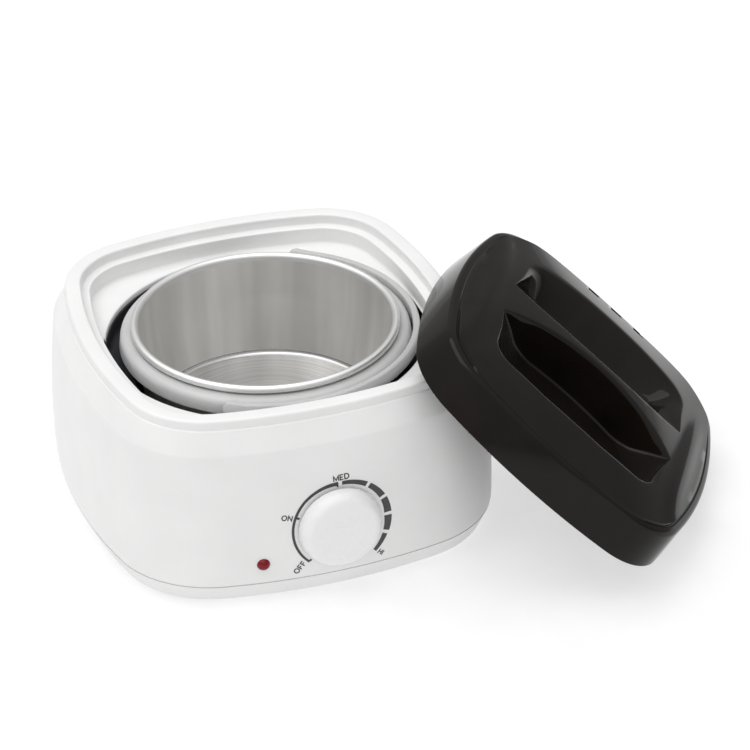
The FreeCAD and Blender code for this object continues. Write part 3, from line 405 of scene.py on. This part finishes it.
CAD_LOOK = {
    "housing_shell": WHITE, "housing_deck": WHITE, "base_pan": WHITE_PAN, "rubber_feet": RUBBER,
    "pan_screws": STEEL, "heater_bowl": COAT, "bowl_screws": STEEL, "band_heater": MICA,
    "heater_strap": STEEL, "strap_bolt": STEEL, "insulation_sleeve": FELT, "thermal_fuse": FUSE,
    "fuse_clip": STEEL, "thermostat_body": CONTROL, "thermostat_shaft": BRASS,
    "thermostat_nut": BRASS, "control_knob": WHITE_KNOB, "led_lens": RED, "led_board": BOARD,
    "terminal_block": BLOCK, "mains_inlet": BLACK_IN, "inlet_pins": BRASS, "internal_leads": LEADS,
    "wax_can": SPUN, "pot_collar": FROST, "bail_pins": STEEL, "bail_handle": FROST_BAIL,
    "lid": LID,
}
for node_name, node_look in CAD_LOOK.items():
    dress(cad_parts[node_name], node_look)

# ------------------------------------------------------------------ housing
# the section runs from the pot's hole over the deck, ledge and rim, down the wall and back inside
rim_path = fillet([(-3.5, LEDGE_LOW), (-3.5, LEDGE_Z, 0.5), (0.0, LEDGE_Z, 0.45), (0.0, RIM_Z, 0.9),
                   (6.3, RIM_Z, 1.1), (6.3, 75.5, 0.35), (7.0, 75.2, 0.5), (11.5, 66.5, 4.0),
                   (belly(58), 58.0)], 6)
shell_path = ([("r", 63.0, DECK_UNDER), ("r", 63.0, 67.8), ("r", 63.2, 68.25), ("r", 63.6, DECK_Z)]
              + fillet([(-6.0, DECK_Z), (-3.5, DECK_Z, 0.9), (-3.5, LEDGE_LOW)]) + rim_path[1:]
              + [(belly(z), z) for z in (54, 48, 42, 35, 28, 20, 15, 11.0)]
              + [(14.1, 10.3), (13.85, SEAM_Z), (11.7, SEAM_Z), (11.7, 40.0), (9.5, 64.0),
                 (4.0, 72.0), (1.8, 72.8), (-1.7, 72.8), (-1.7, DECK_UNDER)])
shell_rings = sweep_plan(shell_path)
shell = make("shell_body", flatten(shell_rings), ring_faces(shell_rings, True), "base",
             "white_shell", WHITE, ["housing_shell", "housing_deck"], smooth=50)

INLET_HALF, INLET_LOW, INLET_HIGH, INLET_ROUND = 11.6, 17.2, 30.8, 0.3
INLET_Y = (76.0, 92.0)
inlet_hole = rounded_box(-INLET_HALF, INLET_HALF, INLET_LOW, INLET_HIGH, INLET_ROUND, 3)
carve(shell, cutter_block([[(x, y, z) for x, z in inlet_hole] for y in INLET_Y]), WHITE)

# ------------------------------------------------------------------ pot, collar and bail
CAN_FLOOR, CAN_UNDER = 32.0, 31.2
BEAD_R, BEAD_MID, BEAD_Z = 1.55, 51.55, 74.45
BEAD_FROM, FLOOR_TO = 72.7, 33.9                    # heights where the pot's three materials meet; the floor's is the wall metal painted darker, as painted shade
can_path = (fillet([(0.02, CAN_FLOOR), (20, CAN_FLOOR), (46.2, CAN_FLOOR, 1.8), (49.6, 58.0, 60.0),
                    (50.0, 70.0), (50.0, 73.2)], 10)
            + arc(BEAD_MID, BEAD_Z, BEAD_R, BEAD_R, 180, -70, 18)
            + fillet([(50.85, 73.1), (50.8, 70.0), (50.4, 58.0, 60.0), (47.0, CAN_UNDER, 2.4),
                      (20, CAN_UNDER), (0.02, CAN_UNDER)], 10))
can = make("pot_can", *lathe(can_path, 160), "pot", "pot_metal", SPUN, ["wax_can"], smooth=40)
can.data.materials.append(BEAD)
# the floor's darker copy of the metal is painted shade
can.data.materials.append(FLOOR_PAINTED_DARK)
for poly in can.data.polygons:
    if poly.center.z > BEAD_FROM * MM:
        poly.material_index = 1
    elif poly.center.z < FLOOR_TO * MM:
        poly.material_index = 2

collar_path = fillet([(50.95, 67), (50.95, 72.3, 0.3), (52.6, 72.5, 0.5), (57.0, 71.9, 3.2),
                      (57.7, 66.0, 0.35), (56.0, 66.0, 0.4), (56.0, 69.6, 0.5), (52.55, 69.8, 0.5),
                      (52.55, 62.6, 0.4), (50.95, 62.6, 0.3), (50.95, 67)], 4)
make("pot_ring", *lathe(collar_path[:-1], 160), "pot", "frosted", FROST, ["pot_collar"], smooth=40)

BAIL_IN, BAIL_OUT, BAIL_Z = 58.1, 60.8, 70.0
BAIL_START = 60                                     # degrees: the bail's first pivot
EYE_R, BAND_HALF, EDGE_R = 3.4, 2.8, 0.7            # round ends, half the band's height, edges
FLARE_REACH, FLARE = 6, 0.6                         # the band is higher by the flare near an eye
EYE_STEPS, NEAR_FROM, NEAR_STEP, SPAN_STEPS = 8, 0.6, 0.9, 90


def bail_stations(total):
    """Places along the bail, close together at its eyes."""
    stations = [-EYE_R * math.sin(math.pi / 2 * (1 - k / EYE_STEPS)) if k else -EYE_R * 0.999
                for k in range(EYE_STEPS + 1)]
    d = NEAR_FROM
    while d < FLARE_REACH:
        stations.append(d)
        d += NEAR_STEP
    span = [FLARE_REACH + (total - 2 * FLARE_REACH) * k / SPAN_STEPS
            for k in range(SPAN_STEPS + 1)]
    return stations + span + [total - s for s in reversed(stations)]


def bail_mesh():
    """Half ring with rounded edges and a round eye at each end."""
    mid_r = (BAIL_IN + BAIL_OUT) / 2
    total = math.pi * mid_r
    rings = []
    for s in bail_stations(total):
        near = min(s, total - s)
        h = math.sqrt(max(EYE_R * EYE_R - near * near, 0.0)) if abs(near) < EYE_R else 0
        if near > 0:
            h = max(h, BAND_HALF + FLARE * max(0, 1 - near / FLARE_REACH) ** 2)
        h = max(h, 0.05)
        r = min(EDGE_R, h * 0.9)
        edge = [(math.cos(t), math.sin(t)) for t in (0, 0.39, 0.79, 1.18, 1.57)]
        upper = [(BAIL_OUT - r + r * cos_t, h - r + r * sin_t) for cos_t, sin_t in edge]
        upper += [(BAIL_IN + r - r * sin_t, h - r + r * cos_t) for cos_t, sin_t in edge]
        section = upper + [(q[0], -q[1]) for q in reversed(upper)]
        a = math.radians(BAIL_START) - s / mid_r
        rings.append([(q * math.cos(a), q * math.sin(a), BAIL_Z + up) for q, up in section])
    verts = flatten(rings)
    n = len(rings[0])
    caps = [tuple(range(n)), tuple(range(len(verts) - n, len(verts)))]
    return verts, ring_faces(rings, False) + caps


make("bail_loop", *bail_mesh(), "bail", "frosted", FROST_BAIL, ["bail_handle"], smooth=40)

# ------------------------------------------------------------------ heater bowl
bowl_path = fillet([(0.05, 30.9), (30, 30.9), (51.7, 30.9, 7), (51.7, 54.0, 4), (62.6, 59.8, 3),
                    (62.6, 65.9, 0.4), (64.2, 65.9, 0.4), (64.2, 60.0, 0.6), (67.6, 60.0, 0.4),
                    (67.6, 58.4, 0.4), (63.4, 58.4, 1), (53.3, 53.0, 3), (53.3, 29.4, 8),
                    (30, 29.4), (0.05, 29.4)], 6)
make("bowl_body", *lathe(bowl_path, 144), "base", "dark_coat", COAT, ["heater_bowl"], smooth=40)

# ------------------------------------------------------------------ knob and indicator
KNOB_AT, LENS_AT = (1.5, -85.2, 30.6), (-28.7, -75.2, 18.3)
LENS_R, LENS_FLANGE = 2.7, 3.5
knob_front = fillet([(0.02, 5.8), (8.0, 5.76, 30), (14.2, 5.5, 3.4), (16.1, 2.6, 3.0),
                     (16.8, 0.0, 0.3), (15.2, 0.0)], 8)
knob_back = fillet([(15.2, 0), (15.1, 1.2, 0.5), (13.9, 4.2, 1.0), (5.6, 4.2, 0.4), (5.6, 1.4, 0.3),
                    (3.02, 1.4), (3.02, 4.2), (0.02, 4.2)], 4)
v, f = lathe(knob_front + knob_back[1:], 144)
make("knob_cap", facing_front(v, *KNOB_AT), f, "knob", "white_shell", WHITE_KNOB,
     ["control_knob"], smooth=45)

lens_path = ([(max(0.02, q), z) for q, z in arc(0.0, 6.8, LENS_R, LENS_R, 90, 0, 12)]
             + [(LENS_R, 4.6), (LENS_FLANGE, 4.6), (LENS_FLANGE, 3.6), (LENS_R, 3.6),
                (LENS_R, 0.0), (0.02, 0.0)])
v, f = lathe(lens_path, 64)
make("led_dome", facing_front(v, *LENS_AT), f, "base", "led_red", RED, ["led_lens"], smooth=45)

# ------------------------------------------------------------------ dial print
DIAL_X, DIAL_Z = 2.0, 30.6
PROUD = 0.06                                        # the print's height over the wall
BAND_STEP, BAND_ROWS = 1.5, 2                       # degrees per face, faces across a band


def on_wall(x, z):
    """The place just off the front wall at x and z."""
    r = SIDE_R + belly(z) + PROUD
    return (x, -(HALF_Y - SIDE_R) - math.sqrt(r * r - x * x), z)


def arc_band(name, stations):
    """Printed band round the dial through (angle, inner radius, outer radius) stations."""
    verts = []
    for (a0, i0, o0), (a1, i1, o1) in zip(stations, stations[1:]):
        n = max(1, int(abs(a1 - a0) / BAND_STEP))
        last = 1 if (a1, i1, o1) == stations[-1] else 0
        for k in range(n + last):
            t = k / n
            a = math.radians(a0 + (a1 - a0) * t)
            low, high = i0 + (i1 - i0) * t, o0 + (o1 - o0) * t
            for j in range(BAND_ROWS + 1):
                r = low + (high - low) * j / BAND_ROWS
                verts.append(on_wall(DIAL_X + r * math.sin(a), DIAL_Z + r * math.cos(a)))
    w = BAND_ROWS + 1
    faces = [(k * w + j, k * w + j + 1, (k + 1) * w + j + 1, (k + 1) * w + j)
             for k in range(len(verts) // w - 1) for j in range(BAND_ROWS)]
    make(name, verts, faces, "base", "white_shell", INK)


arc_band("dial_arc_low", [(-137.5, 18.65, 19.6), (-90.0, 18.5, 19.55), (-48.0, 18.3, 19.45),
                          (-24.0, 17.85, 19.2), (-1.2, 17.3, 18.95)])
for i, band in enumerate((((3.6, 17.35, 18.95), (35.6, 17.8, 19.95)),
                          ((39.6, 17.85, 20.0), (63.4, 17.9, 20.55)),
                          ((67.4, 17.9, 20.6), (87.4, 17.75, 20.8)),
                          ((91.6, 17.7, 20.85), (111.0, 18.4, 21.0)),
                          ((115.4, 18.6, 20.85), (138.3, 19.4, 21.0)))):
    arc_band("dial_arc_%d" % i, band)
for i, (a0, a1, low, high) in enumerate(((-138.3, -135.6, 17.9, 18.8), (-71.4, -68.4, 17.3, 18.7),
                                         (-3.6, -1.2, 16.8, 17.8))):
    arc_band("dial_tick_%d" % i, [(a0, low, high), (a1, low, high)])

# Each letter is (width, strokes) for a height of 1.
LETTERS = {
    "O": (0.92, [arc(0.46, 0.5, 0.4, 0.44, 0, 360, 32)]),
    "F": (0.6, [[(0.06, 0.0), (0.06, 0.94), (0.58, 0.94)], [(0.12, 0.5), (0.5, 0.5)]]),
    "E": (0.62, [[(0.6, 0.06), (0.06, 0.06), (0.06, 0.94), (0.6, 0.94)],
                 [(0.12, 0.5), (0.52, 0.5)]]),
    "N": (0.76, [[(0.06, 0.0), (0.06, 0.94), (0.7, 0.06), (0.7, 1.0)]]),
    "M": (0.92, [[(0.06, 0.0), (0.06, 0.9), (0.46, 0.16), (0.86, 0.9), (0.86, 0.0)]]),
    "D": (0.8, [[(0.3, 0.06), (0.06, 0.06), (0.06, 0.94)]
                + arc(0.3, 0.5, 0.44, 0.44, 90, -90, 16)]),
    "H": (0.74, [[(0.06, 0.0), (0.06, 1.0)], [(0.68, 0.0), (0.68, 1.0)],
                 [(0.12, 0.5), (0.62, 0.5)]]),
    "I": (0.16, [[(0.08, 0.0), (0.08, 1.0)]]),
}
LETTER_GAP, STROKE, MITRE = 0.16, 0.205, 0.35       # MITRE caps how far a corner reaches out


def ribbon(line):
    """Both edges of a stroke, mitred at its corners."""
    sides = []
    last = len(line) - 1
    for k, (x, y) in enumerate(line):
        a, b = line[max(0, k - 1)], line[min(last, k + 1)]
        u = Vector((x - a[0], y - a[1])).normalized() if k else None
        v = Vector((b[0] - x, b[1] - y)).normalized() if k < last else None
        u, v = u or v, v or u
        out = Vector((-u.y - v.y, u.x + v.x)).normalized()
        reach = STROKE / 2 / max(MITRE, out.dot(Vector((-u.y, u.x))))
        sides += [(x + out.x * reach, y + out.y * reach), (x - out.x * reach, y - out.y * reach)]
    return sides


def word(text, x, z, height, angle):
    """Word laid on the front wall in flat strokes, centred at a place."""
    start = -(sum(LETTERS[c][0] + LETTER_GAP for c in text) - LETTER_GAP) / 2
    verts, faces = [], []
    a = math.radians(angle)
    for c in text:
        width, strokes = LETTERS[c]
        for line in strokes:
            first = len(verts)
            for px, py in ribbon(line):
                dx, dz = (px + start) * height, (py - 0.5) * height
                verts.append(on_wall(x + dx * math.cos(a) - dz * math.sin(a),
                                     z + dx * math.sin(a) + dz * math.cos(a)))
            faces += [(k, k + 1, k + 3, k + 2)
                      for k in range(first, first + 2 * (len(line) - 1), 2)]
        start += width + LETTER_GAP
    make("word_" + text.lower(), verts, faces, "base", "white_shell", INK)


word("OFF", -14.9, 14.6, 2.35, 50)
word("ON", -19.1, 37.6, 2.3, -14)
word("MED", 2.9, 51.2, 2.4, 2)
word("HI", 18.0, 14.0, 2.1, -40)

# ------------------------------------------------------------------ lid
LID_M = (Matrix.Translation(Vector((101.03, -55.31, 44.98)))
         @ Matrix.Rotation(math.radians(-36.5), 4, "Z")
         @ Matrix.Rotation(math.radians(40.2), 4, "Y")
         @ Matrix.Rotation(math.radians(-8.0), 4, "X"))
CROWN_OUT, CROWN_W = -6.8, 17.8                     # outset and height of the crown's edge
SHOULDER_OUT, SHOULDER_SHARE = -2.9, 0.3            # the shoulder's width there, on the long sides
SHOULDER_X, SHOULDER_BLEND = 34, 20                 # it widens over the blend, from this x
LID_WALL = 2.2
DOME_RISE, DOME_X, DOME_Y = 9.0, 61.0, 66.8         # the crown's rise, and where it has fallen to 0
FOLD_RISE, FOLD_X, FOLD_WIDTH = 1.5, 51.5, 4.0      # a soft fold along each end of the crown
FOLD_BEND, FOLD_BEND_Y, FOLD_Y = 6, 53.0, 58.0      # it bends outwards, and ends at FOLD_Y
FLOOR_W, FLOOR_FLAT = 9.0, 20                       # a pocket's floor is flat up to this x,
FLOOR_CURVE, FLOOR_STRAIGHT, FLOOR_SLOPE = 3.0, 31, 0.75    # then curved, then a straight slope
TIP_X, TIP_Y = 44, 12.0                             # a pocket's pointed ends
BAR_HALF, BAR_R = 2.5, 106.6                        # the grip bar's waist and its sides' radius
POCKET_FAR, POCKET_FAR_X, POCKET_BULGE = 44.9, 14, 0.2      # a pocket's outer side
BAR_STEPS, FAR_STEPS = 60, 12
POINT_GAP = 1.3                                     # wanted gap between the outline's points
# a pocket's wall as (distance in from its outline, share of its depth)
WALL_STEPS = ([(-1.1 + 1.1 * k / 5, 0.085 * (1 - math.sqrt(1 - (k / 5) ** 2))) for k in range(6)]
              + [(0.5, 0.34), (1.0, 0.62), (1.35, 0.82), (1.6, 0.93), (1.85, 0.975), (2.2, 1.0)])
WALL_SPREAD = {1: 4.6, -1: 2.2}                     # far and near pocket: the outer wall is softer
TIP_SHARE, TIP_REACH = 0.16, 11.0                   # the wall is steeper close to a tip
SPREAD_Y, SPREAD_BLEND = 18, 22                     # it softens over the blend, from this y
GRID_X, GRID_Y, GRID_STEP = 63.0, 66.0, 2.0
GRID_CLEAR, GRID_INSET = 0.8, 1.2                   # distances from the loops and from the border


def lid_ring_points(outset):
    """The lid's ring at an outset: its shoulder narrows along the near and far sides."""
    ring = []
    for (x, y), (u, v) in zip(plan_ring(0.0), plan_ring(1.0)):
        o = outset
        if o < SHOULDER_OUT:
            wide = ease((abs(x) - SHOULDER_X) / SHOULDER_BLEND)
            share = SHOULDER_SHARE + (1 - SHOULDER_SHARE) * wide
            o = SHOULDER_OUT + (o - SHOULDER_OUT) * share
        ring.append((x + (u - x) * o, y + (v - y) * o))
    return ring


def dome(x, y):
    """Height of the lid's crown, before the pockets."""
    crown = DOME_RISE * max(0.0, 1 - (x / DOME_X) ** 2) * max(0.0, 1 - (y / DOME_Y) ** 2)
    off_fold = abs(x) - FOLD_X - FOLD_BEND * (y / FOLD_BEND_Y) ** 4
    fold = FOLD_RISE * math.exp(-(off_fold / FOLD_WIDTH) ** 2)
    return CROWN_W + crown + fold * max(0.0, 1 - (y / FOLD_Y) ** 2)


def pocket_floor(x):
    """Height of a pocket's floor along the bar: flat, then curving up towards the tips."""
    a = abs(x)
    if a <= FLOOR_FLAT:
        return FLOOR_W
    rise = FLOOR_CURVE * min(1.0, (a - FLOOR_FLAT) / (FLOOR_STRAIGHT - FLOOR_FLAT)) ** 2
    return FLOOR_W + (rise + FLOOR_SLOPE * max(0.0, a - FLOOR_STRAIGHT))


def pocket_outline():
    """Closed outline of the far pocket, from the bar's left tip round to itself."""
    pts = []
    for k in range(BAR_STEPS + 1):
        x = -TIP_X + 2 * TIP_X * k / BAR_STEPS
        pts.append((x, BAR_HALF + BAR_R - math.sqrt(BAR_R ** 2 - x * x)))
    right = fillet([(TIP_X, TIP_Y), (41.8, 24.0, 40.0), (40.6, 41.5, 13.0),
                    (POCKET_FAR_X, POCKET_FAR)], 14)
    pts += right[1:]
    for k in range(1, FAR_STEPS):
        pts.append((POCKET_FAR_X - 2 * POCKET_FAR_X * k / FAR_STEPS,
                    POCKET_FAR + POCKET_BULGE * math.sin(math.pi * k / FAR_STEPS)))
    pts += [(-x, y) for x, y in reversed(right)][:-1]
    dense = []
    for i, p in enumerate(pts):
        q = pts[(i + 1) % len(pts)]
        n = max(1, int(math.hypot(q[0] - p[0], q[1] - p[1]) / POINT_GAP + 0.5))
        dense += [(p[0] + (q[0] - p[0]) * k / n, p[1] + (q[1] - p[1]) * k / n) for k in range(n)]
    return dense


def inward(pts):
    """Unit inward normals of a counter-clockwise outline, smoothed over four edges."""
    n = len(pts)
    out = []
    for i in range(n):
        sx = sy = 0.0
        for s in (-2, -1, 0, 1):
            a, b = pts[(i + s) % n], pts[(i + s + 1) % n]
            dx, dy = b[0] - a[0], b[1] - a[1]
            d = math.hypot(dx, dy) or 1
            sx, sy = sx - dy / d, sy + dx / d
        d = math.hypot(sx, sy) or 1
        out.append((sx / d, sy / d))
    return out


def inside(loop, x, y):
    """Whether a point lies within a closed outline."""
    hit = False
    for i, (ax, ay) in enumerate(loop):
        bx, by = loop[(i + 1) % len(loop)]
        if (ay > y) != (by > y) and x < ax + (y - ay) * (bx - ax) / (by - ay):
            hit = not hit
    return hit


def wall_loops(side):
    """Loops of one pocket's wall from its lip to its floor: (points, share of the depth)."""
    outline = pocket_outline()
    normals = inward(outline)
    loops = []
    for s, share in WALL_STEPS:
        loop = []
        for (x, y), (nx, ny) in zip(outline, normals):
            tip = min(math.hypot(x - TIP_X, y - TIP_Y), math.hypot(x + TIP_X, y - TIP_Y))
            spread = 1 + (WALL_SPREAD[side] - 1) * ease((y - SPREAD_Y) / SPREAD_BLEND)
            k = min(1.0, TIP_SHARE + tip / TIP_REACH) * spread
            loop.append((x + nx * s * k, (y + ny * s * k) * side))
        loops.append((loop, share))
    return loops


def open_grid(pts, walls):
    """Grid points (x, y, share) on the crown and on the pockets' floors, clear of the loops."""
    cells = {}
    for p in pts:
        cells.setdefault((int(p[0] // 1), int(p[1] // 1)), []).append(p)

    def crowded(x, y):
        return any(math.hypot(q[0] - x, q[1] - y) < GRID_CLEAR
                   for i in (-1, 0, 1) for j in (-1, 0, 1)
                   for q in cells.get((int(x // 1) + i, int(y // 1) + j), ()))

    limit = lid_ring_points(CROWN_OUT - GRID_INSET)
    grid = []
    for j in range(int(2 * GRID_Y / GRID_STEP) + 1):
        y = -GRID_Y + GRID_STEP * j
        for i in range(int(2 * GRID_X / GRID_STEP) + 1):
            x = -GRID_X + GRID_STEP * i
            if inside(limit, x, y) and not crowded(x, y):
                loops = walls[1 if y > 0 else -1]
                if not inside(loops[0][0], x, y):
                    grid.append((x, y, 0.0))
                elif inside(loops[-1][0], x, y):
                    grid.append((x, y, 1.0))
    return grid


def lid_top(border):
    """Triangulated crown with both pockets, from its border ring: points and faces."""
    walls = {side: wall_loops(side) for side in (1, -1)}
    pts, drop, edges = [], [], []
    for loop, share in [(border, 0.0)] + walls[1] + walls[-1]:
        start, n = len(pts), len(loop)
        pts += loop
        drop += [share] * n
        edges += [(start + k, start + (k + 1) % n) for k in range(n)]
    for x, y, share in open_grid(pts, walls):
        pts.append((x, y))
        drop.append(share)
    mesh = delaunay_2d_cdt([Vector(p) for p in pts], edges, [list(range(len(border)))], 1, 1e-5)
    top = []
    for p, source in zip(mesh[0], mesh[3]):
        share = drop[source[0]] if source else 0.5
        w = dome(p.x, p.y)
        if share > 0:
            w = w * (1 - share) + min(pocket_floor(p.x), w) * share
        top.append((p.x, p.y, w))
    return top, [tuple(face) for face in mesh[2]]


def lid_mesh():
    """Closed lid shell: crown, groove, shoulder, skirt and inner face."""
    border = lid_ring_points(CROWN_OUT)
    top, faces = lid_top(border)
    index = {(round(x, 3), round(y, 3)): i for i, (x, y, w) in enumerate(top)}
    crown_edge = [index[(round(x, 3), round(y, 3))] for x, y in border]
    shift, n = len(top), len(border)
    verts = top + [(x, y, w - LID_WALL) for x, y, w in top]
    faces += [tuple(reversed([i + shift for i in face])) for face in faces]
    side = fillet([(CROWN_OUT, CROWN_W), (-6.3, 17.5, 0.5), (-5.6, 17.7, 0.6),
                   (SHOULDER_OUT, 16.9, 2.2), (-0.55, 0.35, 0.3), (-0.8, 0.0, 0.2),
                   (-2.5, 0.0, 0.2), (-2.75, 0.3, 0.3), (-4.9, 14.8, 2.0), (CROWN_OUT, 15.6)])
    rings = [crown_edge]
    for o, w in side[1:-1]:
        rings.append(list(range(len(verts), len(verts) + n)))
        verts += [(x, y, w) for x, y in lid_ring_points(o)]
    rings.append([i + shift for i in crown_edge])
    for a, b in zip(rings, rings[1:]):
        faces += [(a[k], a[(k + 1) % n], b[(k + 1) % n], b[k]) for k in range(n)]
    return verts, faces


def leaning(points):
    """Points of the lid's own frame, as the lid leans."""
    return [LID_M @ Vector(p) for p in points]


v, f = lid_mesh()
lid = make("lid_shell", leaning(v), f, "lid", "lid_black", LID, ["lid"], smooth=42)

# the three vents are blind slots in the crown's far edge
VENT_HALF, VENT_LOW, VENT_HIGH, VENT_ROUND = 2.65, 16.5, 21.0, 0.6
VENT_Y = (62.4, 65.9)
for mid in (-11.1, 1.2, 13.5):
    vent = rounded_box(mid - VENT_HALF, mid + VENT_HALF, VENT_LOW, VENT_HIGH, VENT_ROUND, 4)
    carve(lid, cutter_block([leaning([(x, y, w) for x, w in vent]) for y in VENT_Y]), LID)

# the drip ring hangs from the lid's inner face, and the lid leans on it
RING_IN, RING_OUT, RING_CHAMFER = 48.4, 50.0, 0.3
RING_FOOT, RING_BEVEL, RING_TOP = 4.6, 5.1, 14.5
RING_SINK, RING_LEAST = 0.3, 5.6                    # its root sinks in, but stays above the least
UNDER_X, UNDER_Y = 43, (2, 44)                      # within these a pocket's floor lies over it


def under(x, y):
    """Height of the lid's inner face over a place."""
    top = dome(x, y)
    if abs(x) < UNDER_X and UNDER_Y[0] < abs(y) < UNDER_Y[1]:
        top = min(pocket_floor(x), top)
    return top - LID_WALL


v, f = lathe([(RING_IN, RING_BEVEL), (RING_IN + RING_CHAMFER, RING_FOOT),
              (RING_OUT - RING_CHAMFER, RING_FOOT), (RING_OUT, RING_BEVEL),
              (RING_OUT, RING_TOP), (RING_IN, RING_TOP)], 128)
v = [(x, y, w if w < RING_TOP else max(under(x, y) + RING_SINK, RING_LEAST)) for x, y, w in v]
make("lid_ring", leaning(v), f, "lid", "lid_black", LID, smooth=40)

# ------------------------------------------------------------------ stage
FLOOR_HALF = 6                                      # metres
floor_mesh = bpy.data.meshes.new("floor")
floor_mesh.from_pydata([(-FLOOR_HALF, -FLOOR_HALF, 0), (FLOOR_HALF, -FLOOR_HALF, 0),
                        (FLOOR_HALF, FLOOR_HALF, 0), (-FLOOR_HALF, FLOOR_HALF, 0)], [],
                       [(0, 1, 2, 3)])
floor = add_object("floor", floor_mesh)
# pale paper that is lit a little from within, and falls off away from the object
fl = Nodes("floor_paper")
far = fl.add("ShaderNodeVectorMath", {0: fl.coord}, operation="LENGTH")
reach = fl.add("ShaderNodeMapRange", {"From Min": 0.5, "From Max": 1.4, "To Min": 1.0,
                                      "To Max": 0.5, "Value": far.outputs["Value"]})
tone = fl.ramp(fl.noise(30, 3), [(0.3, (0.4, 0.4, 0.4)), (0.7, (0.42, 0.42, 0.42))])
paper = fl.add("ShaderNodeVectorMath", {0: tone, "Scale": reach.outputs["Result"]},
               operation="SCALE")
fl.link(paper.outputs[0], fl.bsdf.inputs["Base Color"])
fl.link(paper.outputs[0], fl.bsdf.inputs["Emission Color"])
fl.set(Roughness=0.6, Specular_IOR_Level=0.2, Emission_Strength=1.45)
floor.data.materials.append(fl.mat)

# ------------------------------------------------------------------ light
HORIZON, ZENITH = 0.36, 1.05
BRIGHT_SIDE = (-0.18, -0.26, 0.9)
world = bpy.data.worlds.new("studio")
bpy.context.scene.world = world
world.use_nodes = True
sky = world.node_tree
lean = sky.nodes.new("ShaderNodeVectorMath")
lean.operation = "DOT_PRODUCT"
sky.links.new(sky.nodes.new("ShaderNodeTexCoord").outputs["Generated"], lean.inputs[0])
lean.inputs[1].default_value = BRIGHT_SIDE
fade = sky.nodes.new("ShaderNodeValToRGB")
for el, (pos, grey) in zip(fade.color_ramp.elements, ((0.0, HORIZON), (1.0, ZENITH))):
    el.position, el.color = pos, (grey, grey, grey, 1)
sky.links.new(lean.outputs["Value"], fade.inputs["Fac"])
sky.links.new(fade.outputs["Color"], sky.nodes["Background"].inputs["Color"])
sky.nodes["Background"].inputs["Strength"].default_value = 1.0

KEY_AT, KEY_SIZE, KEY_POWER = (-0.35, 0.1, 1.5), 1.6, 12.0      # metres, metres, watts
key = bpy.data.lights.new("key", "AREA")
key.shape = "RECTANGLE"
key.size = key.size_y = KEY_SIZE
key.energy = KEY_POWER
key_light = add_object("key", key)
key_light.location = KEY_AT
key_light.rotation_euler = (-Vector(KEY_AT)).to_track_quat("-Z", "Y").to_euler()

# ------------------------------------------------------------------ camera
AZ, EL, ROLL = math.radians(-18.39), math.radians(31.36), math.radians(-1.14)
TARGET, DIST = Vector((0, 0, 40)), 1588.47
FOCAL, SHIFT_U, SHIFT_V, PIXELS = 4000.0, -107.09, 20.44, 750.0     # in pixels of the picture
SENSOR = 36.0
back = Vector((math.sin(AZ) * math.cos(EL), -math.cos(AZ) * math.cos(EL), math.sin(EL)))
right = Vector((math.cos(AZ), math.sin(AZ), 0))
up = back.cross(right)
right_r = right * math.cos(ROLL) + up * math.sin(ROLL)
up_r = up * math.cos(ROLL) - right * math.sin(ROLL)
place = (TARGET + back * DIST - right_r * (SHIFT_U / FOCAL * DIST)
         + up_r * (SHIFT_V / FOCAL * DIST)) * MM
cam_data = bpy.data.cameras.new("camera")
cam_data.lens = SENSOR * FOCAL / PIXELS
cam_data.sensor_width = SENSOR
cam_data.clip_start, cam_data.clip_end = 0.05, 30
cam = add_object("camera", cam_data)
cam.matrix_world = Matrix((
    (right_r.x, up_r.x, back.x, place.x),
    (right_r.y, up_r.y, back.y, place.y),
    (right_r.z, up_r.z, back.z, place.z),
    (0, 0, 0, 1),
))
bpy.context.scene.camera = cam
bpy.context.scene.view_settings.view_transform = "Standard"
